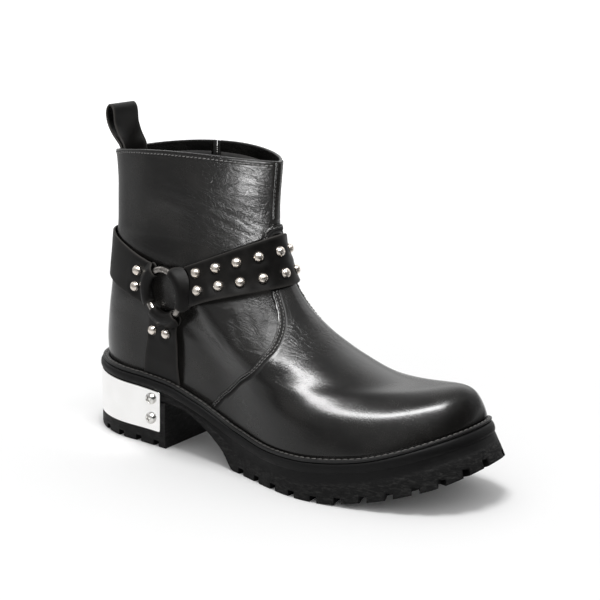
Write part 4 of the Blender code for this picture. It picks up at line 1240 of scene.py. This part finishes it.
def loft(levels):
    # stacked outlines, each a pair of sides from back to front, with strips between the sides as caps
    rings = np.array(levels)
    count = rings.shape[2]
    loops = np.concatenate([rings[:, 0], rings[:, 1, ::-1]], 1)
    size = 2 * count
    faces = [gridFaces(len(levels), size, wrapV=True)]
    i = np.arange(count - 1)
    for start, order in ((0, 1), ((len(levels) - 1) * size, -1)):
        cap = np.stack([start + i, start + i + 1, start + size - 2 - i, start + size - 1 - i], -1)
        faces.append(cap[:, ::order])
    return loops.reshape(-1, 3), faces


def outlinePair(margin, along, closeFront=True):
    pair = np.stack([outline(0.0, margin, along, side) for side in (lateral, medial)])
    pair[:, 0] = pair[:, 0].mean(0)
    if closeFront:
        pair[:, -1] = pair[:, -1].mean(0)
    return pair


def uprightBoxes(places):
    # cutter of boxes: each has a size, a middle and the plan direction of its y side
    corner = np.array([(x, y, z) for x in (-0.5, 0.5) for y in (-0.5, 0.5) for z in (-0.5, 0.5)])
    quads = np.array([(0, 1, 3, 2), (4, 6, 7, 5), (0, 4, 5, 1), (2, 3, 7, 6), (0, 2, 6, 4), (1, 5, 7, 3)])
    size = np.array([p[0] for p in places], float)
    centre = np.array([p[1] for p in places], float)
    along = unit(np.array([(*p[2], 0.0) for p in places], float))
    up = np.broadcast_to(upAxis, along.shape)
    side = np.cross(along, up)
    return copies(corner, [quads], centre, side * size[:, :1], along * size[:, 1:2], up * size[:, 2:])


def edgeNotches(line, begin, depth):
    far = travelled(line[:, :2])
    places = []
    for distance in np.arange(np.interp(begin, line[:, 0], far), far[-1] - soleSpec["notchWidth"],
                              soleSpec["notchPitch"]):
        here, ahead = (readAlong(line, far, distance + off) for off in (0.0, 1.0))
        size = (2 * depth, soleSpec["notchWidth"], 2 * soleSpec["notchHeight"])
        places.append((size, here, (ahead[0] - here[0], ahead[1] - here[1])))
    return places


def cutBody(name, body, places, finish, nodes, rawWall):
    # the notches are cut with one Boolean, and the result is kept as a plain mesh
    mesh = buildMesh(name, *body, values={"rawWall": rawWall}, merge=0.002)
    obj = bpy.data.objects.new(name, mesh)
    cutter = bpy.data.objects.new(name + "_cutter", buildMesh(name + "_cutter", *uprightBoxes(places)))
    for item in (obj, cutter):
        bpy.context.scene.collection.objects.link(item)
    cut = obj.modifiers.new("notches", "BOOLEAN")
    cut.operation, cut.solver, cut.object = "DIFFERENCE", "EXACT", cutter
    shown = obj.evaluated_get(bpy.context.evaluated_depsgraph_get())
    result = bpy.data.meshes.new_from_object(shown)
    obj.modifiers.remove(cut)
    obj.data = result
    bpy.data.objects.remove(cutter)
    result.materials.clear()
    result.materials.append(finish)
    result.shade_smooth()
    result.set_sharp_from_angle(angle=math.radians(soleSpec["sharp"]))
    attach(obj, "boot")
    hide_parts(*nodes)
    return obj


def makeOutsole():
    along = np.linspace(0, 1, soleSpec["stations"])
    x = girthPoint(0.0, along, lateral)[:, 0]
    fore = ease(last["heelLength"], last["treadStart"], x)
    levels, raw = [], []
    for fall, atHeel, atFore in soleSpec["lip"]:
        pair = outlinePair(mix(atHeel, atFore, fore), along)
        pair[..., 2] = soleTop(pair[..., 0]) - fall
        levels.append(leanForward(pair))
        raw.append(np.zeros(2 * len(along)))
    for share, atHeel, atFore in soleSpec["wall"]:
        pair = outlinePair(mix(atHeel, atFore, fore), along)
        top = soleTop(pair[..., 0]) - last["lip"]
        pair[..., 2] = mix(top, soleBottom(pair[..., 0]), share)
        levels.append(leanForward(pair))
        raw.append(np.full(2 * len(along), float(ease(0.2, 0.42, share))))
    edge = np.linspace(0, 1, 500)
    places = []
    for side in (lateral, medial):
        line = outline(0.0, soleSpec["notchMargin"], edge, side)
        line[:, 2] = soleBottom(line[:, 0])
        begin = last["treadStart"] + soleSpec["notchPitch"] / 2
        places += edgeNotches(leanForward(line), begin, soleSpec["notchDepth"])
    pitch = soleSpec["notchPitch"]
    for gx in np.arange(last["treadStart"] + pitch, last["springStart"] + pitch, pitch):
        size = (soleSpec["grooveSpan"], soleSpec["grooveWidth"], 2 * soleSpec["notchHeight"])
        places.append((size, (gx, float(centreLine(gx)), float(soleBottom(gx))), (1.0, 0.0)))
    cutBody("rubber_outsole", loft(levels), places, rubber, ["outsole"], np.concatenate(raw))


makeOutsole()


# Heel with a seat for its plate, the plate and its screws
plateSpec = {"front": 76.0, "bottom": 11.3, "thick": 1.3, "corner": 1.6, "edge": 0.5}
screwSpec = {"radius": 4.2, "turn": 22, "rim": 0.35, "dome": 2.45, "arm": (0.42, 0.62), "reach": (2.0, 2.4)}


def makeHeel():
    front = float(alongAt(last["heelLength"], 0.0))
    plateEnd = float(alongAt(plateSpec["front"], 0.0))
    along = np.concatenate([np.linspace(0, plateEnd, 150), np.linspace(plateEnd + 0.002, front, 12)])
    behind = np.where(along > plateEnd + 0.001, soleSpec["heelWall"], soleSpec["plateSeat"])
    full = np.full_like(along, soleSpec["heelWall"])
    shelf = plateSpec["bottom"] - last["fit"]
    table = (
        (behind - 0.5, 33.4), (behind, 32.8), (behind, shelf), (full - 0.5, shelf), (full, shelf - 0.5),
        (full, 6.0), (full, 1.0), (full - 0.3, 0.3), (full - 1.0, 0.0),
    )
    levels, raw = [], []
    for margin, height in table:
        pair = outlinePair(margin, along, closeFront=False)
        pair[..., 0] = np.minimum(pair[..., 0], last["heelLength"])
        pair[..., 2] = height
        levels.append(pair)
        raw.append(np.full(2 * len(along), 0.7))
    edge = np.linspace(0, front, 300)
    places = []
    for side in (lateral, medial):
        line = outline(0.0, soleSpec["heelWall"], edge, side)
        far = travelled(line[:, :2])
        begin = np.interp(soleSpec["notchPitch"] / 2, far, line[:, 0])
        line[:, 2] = 0.0
        places += edgeNotches(line, begin, soleSpec["heelNotchDepth"])
    cutBody("rubber_heel", loft(levels), places, rubber, ["heel"], np.concatenate(raw))


makeHeel()


def makePlate():
    # a strip carried round the heel's outline, its corners rounded in its own flat outline
    end = float(alongAt(plateSpec["front"], 0.0))
    share = np.linspace(-1, 1, 221)
    seat = soleSpec["plateSeat"] + last["fit"]
    line = np.stack([
        outline(0.0, seat, np.abs(s) * end, lateral if s < 0 else medial)[0] for s in share[:, None]
    ])
    far = travelled(line)
    half = far[-1] / 2
    v = 0.5 + edged(0.5, 0.02, 7, 15)
    reach = edged(half, 1.6, 9, 180)
    path = readAlong(line, far, reach + half)
    top = soleTop(path[:, 0]) - last["lip"] - last["fit"]
    tall = top - plateSpec["bottom"]
    inset = plateSpec["corner"] * (1 - np.sqrt(np.clip(
        1 - (1 - np.clip((half - np.abs(reach)) / plateSpec["corner"], 0, 1)) ** 2, 0, 1)))
    height = (plateSpec["bottom"] + inset)[:, None] + v[None] * (tall - 2 * inset)[:, None]
    sheet = np.stack(np.broadcast_arrays(path[:, None, 0], path[:, None, 1], height), -1)
    normal = unit(np.cross(np.gradient(path, axis=0), upAxis))
    normal = towards(normal, 110, path[110] - [60.0, 0, path[110, 2]])
    gap = np.minimum((half - np.abs(reach))[:, None], np.minimum(v, 1 - v)[None] * tall[:, None])
    swell = plateSpec["thick"] / 2 * (0.35 + 0.65 * roundEdge(gap, plateSpec["edge"]))
    middle = sheet + normal[:, None] * (plateSpec["thick"] / 2)
    body = padded(middle, normal[:, None], swell)
    makePiece("heel_plate_strip", body, steel, "steel", ["heel_plate"], sharp=50, merge=0.002)


makePlate()


def makeScrews():
    # domed head with a cross recess: the dome's height less a soft-edged cross
    names = sorted(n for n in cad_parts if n.startswith("heel_screw_"))
    seats, axes = studSeats(names)
    radius = screwSpec["radius"]
    r = np.concatenate([np.linspace(0.004, 0.62, 26), np.linspace(0.65, 1.0, 10)])[None]
    a = circle(96)[:, None]
    x, y = r * np.cos(a) * radius, r * np.sin(a) * radius
    dome = screwSpec["rim"] + screwSpec["dome"] * np.sqrt(np.clip(1 - r**2.2, 0, 1)) + 0 * a
    arms = np.maximum(*(
        (1 - ease(*screwSpec["arm"], np.abs(p))) * (1 - ease(*screwSpec["reach"], np.abs(q)))
        for p, q in ((x, y), (y, x))
    ))
    dome = dome - arms * (1.35 - 0.3 * r)
    top = np.stack([x, y, dome], -1)
    foot = np.stack([x, y, np.full_like(dome, -0.2)], -1)
    template, faces = slab(top, foot, wrap=True)
    first, second = rotated(*sideways(axes), screwSpec["turn"])
    body = copies(template, faces, seats, first, second, axes)
    makePiece("plate_screws", body, screwSteel, "steel", names, merge=0.05, sharp=40)


makeScrews()
print("sole and heel done")


# Welt: a rounded strip with a sunk channel for its stitches
weltSpec = {
    "profile": (
        (0.3, 0.0), (4.3, 0.0), (4.75, 0.35), (4.9, 1.1), (4.75, 1.8), (4.3, 2.2), (3.4, 2.3), (3.0, 2.0),
        (2.2, 2.0), (1.8, 2.3), (0.8, 2.3), (0.45, 1.9),
    ),
    "channel": 2.6, "seat": 2.2, "thread": (4.4, 3.7, 1.25, 0.95, 7.0),
}


def roundOutline(margin, turn):
    along = np.where(turn < 1, turn, 2 - turn)
    return np.where(
        (turn < 1)[..., None], outline(0.0, margin, along, lateral), outline(0.0, margin, along, medial)
    )


def makeWelt():
    margin, rise = np.array(weltSpec["profile"]).T
    turn = np.linspace(0, 2, 520, endpoint=False)
    t, k = net(turn, np.arange(len(margin)))
    points = roundOutline(margin[k], t)
    points[..., 2] = soleTop(points[..., 0]) + last["fit"] + rise[k]
    body = (points.reshape(-1, 3), [gridFaces(len(turn), len(margin), True, True)])
    makePiece("stitched_welt", body, weltRubber, "welt", ["welt"], sharp=70)
    fine = np.linspace(0.0, 2.0, 1600)
    line = roundOutline(weltSpec["channel"], fine)
    line[:, 2] = soleTop(line[:, 0]) + last["fit"] + weltSpec["seat"]
    up = np.broadcast_to(upAxis, line.shape)
    body = stitches(line, up, *weltSpec["thread"])
    makePiece("welt_threads", body, weltThread, "welt")


makeWelt()


# Pull loop: a strip folded over, its legs inside the back of the collar
loopSpec = {
    "half": 13.0, "thick": 1.6, "edge": 0.7,
    "legs": (
        (16.6, 187.0), (15.0, 206.0), (13.9, 213.0), (12.8, 222.0), (12.3, 230.0), (11.4, 234.0),
        (9.4, 235.8), (7.5, 234.0), (6.7, 230.0), (8.8, 220.0), (11.9, 213.0), (14.5, 206.0), (16.1, 187.0),
    ),
    "bow": ((187.0, 6.8), (207.0, 6.8), (217.0, 2.4), (226.0, 0.0), (240.0, 0.0)),
}


def makeLoop():
    legs = np.array(loopSpec["legs"])
    spot = np.arange(len(legs))
    w = edged(loopSpec["half"], loopSpec["edge"], 6, 15) / loopSpec["half"]
    u, ww = net(np.linspace(0, 1, 150), w)
    x = smooth(spot, legs[:, 0], u * spot[-1])
    z = smooth(spot, legs[:, 1], u * spot[-1])
    sheet = np.stack([x + readTable(loopSpec["bow"], z) * ww**2, -loopSpec["half"] * ww, z], -1)
    normal = towards(gridNormals(sheet), (75, 10), sheet[75, 10] - [9.5, 0.0, 225.0])
    thick = loopSpec["thick"] / 2
    rim = (1 - np.abs(w)) * loopSpec["half"]
    swell = np.broadcast_to(roundEdge(rim, loopSpec["edge"])[None], sheet.shape[:-1])
    middle = sheet + (normal * thick)
    body = padded(middle, normal, thick * swell)
    edge = np.broadcast_to((1 - ease(0.2, 1.0, rim))[None], swell.shape)
    values = {"edge": bothFaces(edge)}
    makePiece("pull_loop_strip", body, harness, "strap_leather", ["pull_loop"], values=values)


makeLoop()
print("welt and loop done")


# Zip: tape, teeth, slider and its hanging pull
zipSpec = {
    "bottom": 3.74, "top": 9.86, "sliderRow": 9.5, "pitch": 1.45, "tooth": (1.0, 3.0, 1.5), "proud": 0.1,
    "slider": (9.0, 12.0, 2.6), "pullAxis": (-0.9, 3.7), "pull": (6.8, 24.0, 1.2), "bar": 0.6,
    "window": (4.4, 6.2), "guardHalf": 15.0, "guardRows": (3.2, 9.6), "stop": (5.0, 2.6, 1.9),
    "tapeTop": 9.995, "arch": (-2.6, 4.2), "archRise": (1.8, 3.6, 0.42), "bridge": (1.1, 0.55),
    "corners": (1.6, 0.8),
}


def roundBox(size, steps, power):
    # a box with rounded edges: a sphere's grid pushed out by a superellipsoid
    a = circle(2 * steps)[:, None]
    b = np.linspace(-np.pi / 2, np.pi / 2, steps + 1)[None]
    flat = 2 / power
    x = signedPower(np.cos(b), flat) * signedPower(np.cos(a), flat) * size[0] / 2
    y = signedPower(np.cos(b), flat) * signedPower(np.sin(a), flat) * size[1] / 2
    z = signedPower(np.sin(b), flat) * size[2] / 2 + 0 * a
    return np.stack([x, y, z], -1).reshape(-1, 3), [gridFaces(2 * steps, steps + 1, wrapU=True)]


def zipLine(rows, lift, offset):
    point, normal, _, side = skinFrame(upperSpec["zipTurn"], rows)
    return point + normal * lift + side * np.asarray(offset, float)[..., None], normal, side


def makeZip():
    rows = np.linspace(zipSpec["bottom"], zipSpec["top"], 400)
    line, normal, side = zipLine(rows, -0.75 + zipSpec["proud"], 0.0)
    far = travelled(line)
    middles = np.arange(1.2, far[-1] - 0.6, zipSpec["pitch"])
    centre, out, across = (readAlong(field, far, middles) for field in (line, normal, side))
    out, across = unit(out), unit(across)
    upward = np.cross(out, across)
    sway = np.where(np.arange(len(middles)) % 2, 0.75, -0.75)[:, None]
    template, faces = roundBox((zipSpec["tooth"][1], zipSpec["tooth"][0], zipSpec["tooth"][2]), 5, 5)
    teeth = copies(template, faces, centre + across * sway, across, upward, out)
    stopper = roundBox(zipSpec["stop"], 7, 5)
    stops = placedAt(stopper, line[0] + upward[0] * 0.6, across[0], upward[0], out[0])
    makePiece("zip_teeth", joined(teeth, stops), zipMetal, "zip", ["zip_chain"], merge=0.01)
    tapes = []
    fine = np.linspace(zipSpec["bottom"] - 0.05, zipSpec["tapeTop"], 160)
    for way in (-1, 1):
        places = way * np.array([0.5, 1.4, 2.3, 3.2])
        row, off = net(fine, places)
        ripple = 0.08 * np.sin(row * 40)
        outer = zipLine(row, (-0.95 + ripple)[..., None], off)[0]
        inner = zipLine(row, (-1.75 + ripple)[..., None], off)[0]
        tapes.append(slab(outer, inner))
    makePiece("zip_tapes", joined(*tapes), tape, "zip")


makeZip()


def makeGuard():
    # flap of lining leather behind the zip
    half = zipSpec["guardHalf"]
    off, row = net(edged(half, 0.6, 5, 13), np.linspace(0, 1, 90))
    low, high = zipSpec["guardRows"]
    row = mix(low, high - 0.28 * np.abs(off / half) ** 3, row)
    turn = upperSpec["zipTurn"] + off * turnPerMm(upperSpec["zipTurn"], row)
    wave = 0.5 * np.sin(row * 2.3 + off / 9)
    swell = roundEdge(half - np.abs(off), 0.6)
    middle = -last["wall"] - 1.9 + wave * 0.4
    outer, inner = skin(turn, row, middle + 0.6 * swell), skin(turn, row, middle - 0.6 * swell)
    makePiece("zip_guard", slab(outer, inner), lining, "leather")


makeGuard()


def roundedRect(width, height, corner, middle, count):
    # rounded rectangle walked by angle, with the same number of points on each quarter
    a = circle(count) + np.pi / count
    cx, cy = width / 2 - corner, height / 2 - corner
    x = np.sign(np.cos(a)) * cx + corner * np.cos(a)
    y = np.sign(np.sin(a)) * cy + corner * np.sin(a)
    return np.stack([x, y + middle], -1)


def makeSlider():
    point, normal, up, side = skinFrame(upperSpec["zipTurn"], zipSpec["sliderRow"])
    foot = point + normal * (zipSpec["proud"] + last["fit"])
    wide, tall, thick = zipSpec["slider"]
    template, faces = roundBox((wide, tall, thick), 16, 6)
    taper = 1 - 0.28 * ease(0.1, 1.0, -template[:, 1] / (tall / 2))
    waist = 1 - 0.10 * bell(template[:, 1], 0.0, 2.6)
    template = template * np.stack([taper * waist, np.ones(len(template)), np.ones(len(template))], -1)
    template[:, 2] += thick / 2
    # bridge: a flat section carried over an arch along the zip
    t = np.linspace(0, 1, 40)
    low, rise, power = zipSpec["archRise"]
    height = low + rise * np.sin(np.pi * t) ** power
    path = np.stack([np.zeros_like(t), mix(*zipSpec["arch"], t), height], -1)
    ahead = unit(np.gradient(path, axis=0))
    outward = np.cross(np.array([1.0, 0.0, 0.0]), ahead)
    b = circle(16)
    section = signedPower(np.stack([np.cos(b), np.sin(b)], -1), 0.5)[None] * zipSpec["bridge"]
    bridge = path[:, None] + section[..., :1] * np.array([1.0, 0, 0]) + section[..., 1:] * outward[:, None]
    bridgeFaces = [gridFaces(40, 16, wrapV=True), np.stack([np.arange(16)[::-1], np.arange(16) + 39 * 16])]
    body = joined((template, faces), (bridge.reshape(-1, 3), bridgeFaces))
    placed = placedAt(body, foot, side, up, normal)
    makePiece("zip_slider_body", placed, zipMetal, "zip", ["zip_slider"], merge=0.01, sharp=60)
    # pull: a plate between its window and its rounded outline, with a raised rim
    hinge = foot + up * zipSpec["pullAxis"][0] + normal * zipSpec["pullAxis"][1]
    wide, tall, thick = zipSpec["pull"]
    hole = zipSpec["window"]
    outer = roundedRect(wide, tall, zipSpec["corners"][0], zipSpec["bar"] - tall / 2, 72)
    inner = roundedRect(*hole, zipSpec["corners"][1], -zipSpec["bar"] - hole[1] / 2, 72)
    s = np.concatenate([[0, 0.015, 0.05], np.linspace(0.1, 0.9, 12), [0.95, 0.985, 1.0]])
    flat = inner[:, None] + (outer - inner)[:, None] * s[None, :, None]
    gap = np.linalg.norm(flat - outer[:, None], axis=-1)
    hollow = ease(0.9, 1.5, gap) * ease(8.5, 9.5, -flat[..., 1])
    nearHole = np.linalg.norm(flat - inner[:, None], axis=-1)
    swell = thick / 2 * (0.55 + 0.45 * roundEdge(np.minimum(gap, nearHole), 0.4))
    swell = swell - 0.18 * hollow
    front = np.stack([flat[..., 0], flat[..., 1], swell], -1)
    rear = np.stack([flat[..., 0], flat[..., 1], -swell], -1)
    placed = placedAt(slab(front, rear, wrap=True), hinge, side, up, normal)
    makePiece("zip_pull_tab", placed, zipMetal, "zip", ["zip_pull"], rides="zip_tab", sharp=50)


makeSlider()
print("zip done")

# The insole's own solid is right: it only takes its finish
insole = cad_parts["insole"]
insole.data.materials.clear()
insole.data.materials.append(insoleFinish)


# Stage: pale floor, soft world, softboxes, camera
stage = {
    "floor": 30.0, "glowFrom": (0.25, 1.2), "glow": grey(0.5), "fill": grey(0.72),
    # what the leather mirrors: a direction, from and to which share of it, and the tone there
    "sides": (grey(0.26), grey(0.62)), "sidesRise": (0.08, 0.32),
    "front": ((0.98, -0.2, 0.0), (0.45, 0.72), grey(0.015)), "frontTop": (0.40, 0.68),
    "behind": ((-0.55, 0.83, 0.1), (0.3, 0.8), grey(2.4)),
    "behindLow": (0.2, 0.52), "behindTop": (0.58, 0.85),
    # cards on the floor that only the leather and the metal see: low and high corner, tone
    "cards": (
        ((0.2, -1.6), (2.2, 0.7), 0.004), ((-2.5, -2.5), (0.2, -0.33), 0.5),
        ((-2.5, -0.33), (-0.5, 0.6), 0.5),
    ),
    "lit": {
        "shaft": ("upper_leather", "collar_threads", "front_stay_strip", "front_stay_threads"),
        "vamp": (
            "vamp_overlay", "vamp_threads", "domed_studs", "ring_torus", "heel_plate_strip", "plate_screws",
        ),
    },
    # place, aim, size, power, and the pieces that it lights: all with the floor, one set, or the rest
    "lights": (
        ("shadow", (0.0, -0.15, 1.6), (0.0, 0.0, 0.0), (0.5, 0.5), 12.0, "all"),
        ("bar", (0.4, -0.5, 1.36), (0.1, 0.0, 0.08), (1.4, 0.31), 74.0, "vamp"),
        ("barAbove", (0.3, -0.4, 1.40), (0.0, 0.0, 0.12), (1.0, 0.3), 22.0, "rest"),
        ("kick", (0.48, -0.52, 0.135), (-0.03, 0.0, 0.19), (0.55, 0.10), 16.0, "shaft"),
    ),
}
camera = {"place": (715.6, -799.3, 372.7), "azimuth": 34.4, "elevation": 14.8, "roll": 1.2, "focal": 1470.1,
          "frame": 600.0}


def stageSheet(name, low, high, z, finish):
    mesh = bpy.data.meshes.new(name)
    corners = [(low[0], low[1], z), (high[0], low[1], z), (high[0], high[1], z), (low[0], high[1], z)]
    mesh.from_pydata(corners, [], [(0, 1, 2, 3)])
    mesh.materials.append(finish)
    sheet = bpy.data.objects.new(name, mesh)
    bpy.context.scene.collection.objects.link(sheet)
    return sheet


def floorFinish():
    # evenly white: far from the boot, where the lights fade, it glows a little
    f = Finish("floor_white", Roughness=0.8, Specular_IOR_Level=0.1, Emission_Strength=1.0)
    spot = f.add("ShaderNodeTexCoord", output="Object")
    away = f.add("ShaderNodeVectorMath", {"operation": "LENGTH"}, {0: spot}, "Value")
    glow = f.blendColour(away.step(*stage["glowFrom"]), (0.0, 0.0, 0.0), stage["glow"])
    pale = f.blendColour(f.noise(900.0, 2.0, 0.5), grey(0.90), grey(0.92))
    return f.feed(Base_Color=pale, Emission_Color=glow)


def studioWorld():
    # even white for the floor; the leather mirrors grey sides, a dark front and a bright wall behind
    sky = Finish("soft_white", world=True)
    way = sky.add("ShaderNodeTexCoord", output="Generated")
    rise = sky.add("ShaderNodeSeparateXYZ", {}, {0: way}, "Z")

    def facing(key):
        axis, reach, tone = stage[key]
        share = sky.add("ShaderNodeVectorMath", {"operation": "DOT_PRODUCT"}, {0: way, 1: axis}, "Value")
        return share.step(*reach), tone

    front, frontTone = facing("front")
    behind, behindTone = facing("behind")
    sides = sky.blendColour(rise.step(*stage["sidesRise"]), *stage["sides"])
    tone = sky.blendColour(front * (1.0 - rise.step(*stage["frontTop"])), sides, frontTone)
    band = 0.22 + rise.step(*stage["behindLow"]) * 0.78 - rise.step(*stage["behindTop"]) * 0.6
    tone = sky.blendColour(behind * band, tone, behindTone)
    glossy = sky.add("ShaderNodeLightPath", output="Is Glossy Ray")
    seen = sky.add("ShaderNodeLightPath", output="Is Camera Ray")
    plain = sky.blendColour(seen, stage["fill"], grey(1.05))
    return sky.feed(Color=sky.blendColour(glossy, plain, tone))


def makeStage():
    pieces = [obj for obj in bpy.context.scene.objects if obj.type == "MESH"]
    lit = {key: [obj for obj in pieces if obj.name in names] for key, names in stage["lit"].items()}
    lit["rest"] = [obj for obj in pieces if obj not in lit["vamp"]]
    groups = {}
    for key, members in lit.items():
        groups[key] = bpy.data.collections.new(key + "_lit")
        for obj in members:
            groups[key].objects.link(obj)
    half = stage["floor"]
    stageSheet("pale_floor", (-half, -half), (half, half), 0.0, floorFinish())
    for number, (low, high, tone) in enumerate(stage["cards"]):
        matt = Finish(f"card_{number}", Roughness=1.0, Specular_IOR_Level=0.0)
        card = stageSheet(f"card_{number}", low, high, 0.001, matt.feed(Base_Color=grey(tone)))
        card.visible_camera = card.visible_diffuse = card.visible_shadow = False
    bpy.context.scene.world = studioWorld()
    for name, spot, aim, size, power, lights in stage["lights"]:
        light = bpy.data.lights.new(name, "AREA")
        light.shape, light.size, light.size_y, light.energy = "RECTANGLE", size[0], size[1], power
        lamp = bpy.data.objects.new(name, light)
        lamp.location = spot
        lamp.rotation_euler = (Vector(aim) - Vector(spot)).to_track_quat("-Z", "Y").to_euler()
        bpy.context.scene.collection.objects.link(lamp)
        lamp.visible_camera = False
        if lights in groups:
            lamp.light_linking.receiver_collection = groups[lights]
        else:
            lamp.visible_glossy = False


def makeCamera():
    a, e = (math.radians(camera[key]) for key in ("azimuth", "elevation"))
    back = Vector((math.sin(a) * math.cos(e), -math.cos(a) * math.cos(e), math.sin(e)))
    right = Vector((math.cos(a), math.sin(a), 0.0))
    right, up = rotated(right, back.cross(right), camera["roll"])
    lens = bpy.data.cameras.new("photo_camera")
    lens.sensor_width = 36.0
    lens.lens = camera["focal"] / camera["frame"] * lens.sensor_width
    lens.clip_start, lens.clip_end = 0.02, 200.0
    eye = bpy.data.objects.new("photo_camera", lens)
    turn = Matrix((right, up, back)).transposed().to_4x4()
    turn.translation = Vector((np.array(camera["place"]) + shift) * mm)
    eye.matrix_world = turn
    bpy.context.scene.collection.objects.link(eye)
    bpy.context.scene.camera = eye


makeStage()
makeCamera()
bpy.context.scene.view_settings.view_transform = "Standard"
print("stage done")
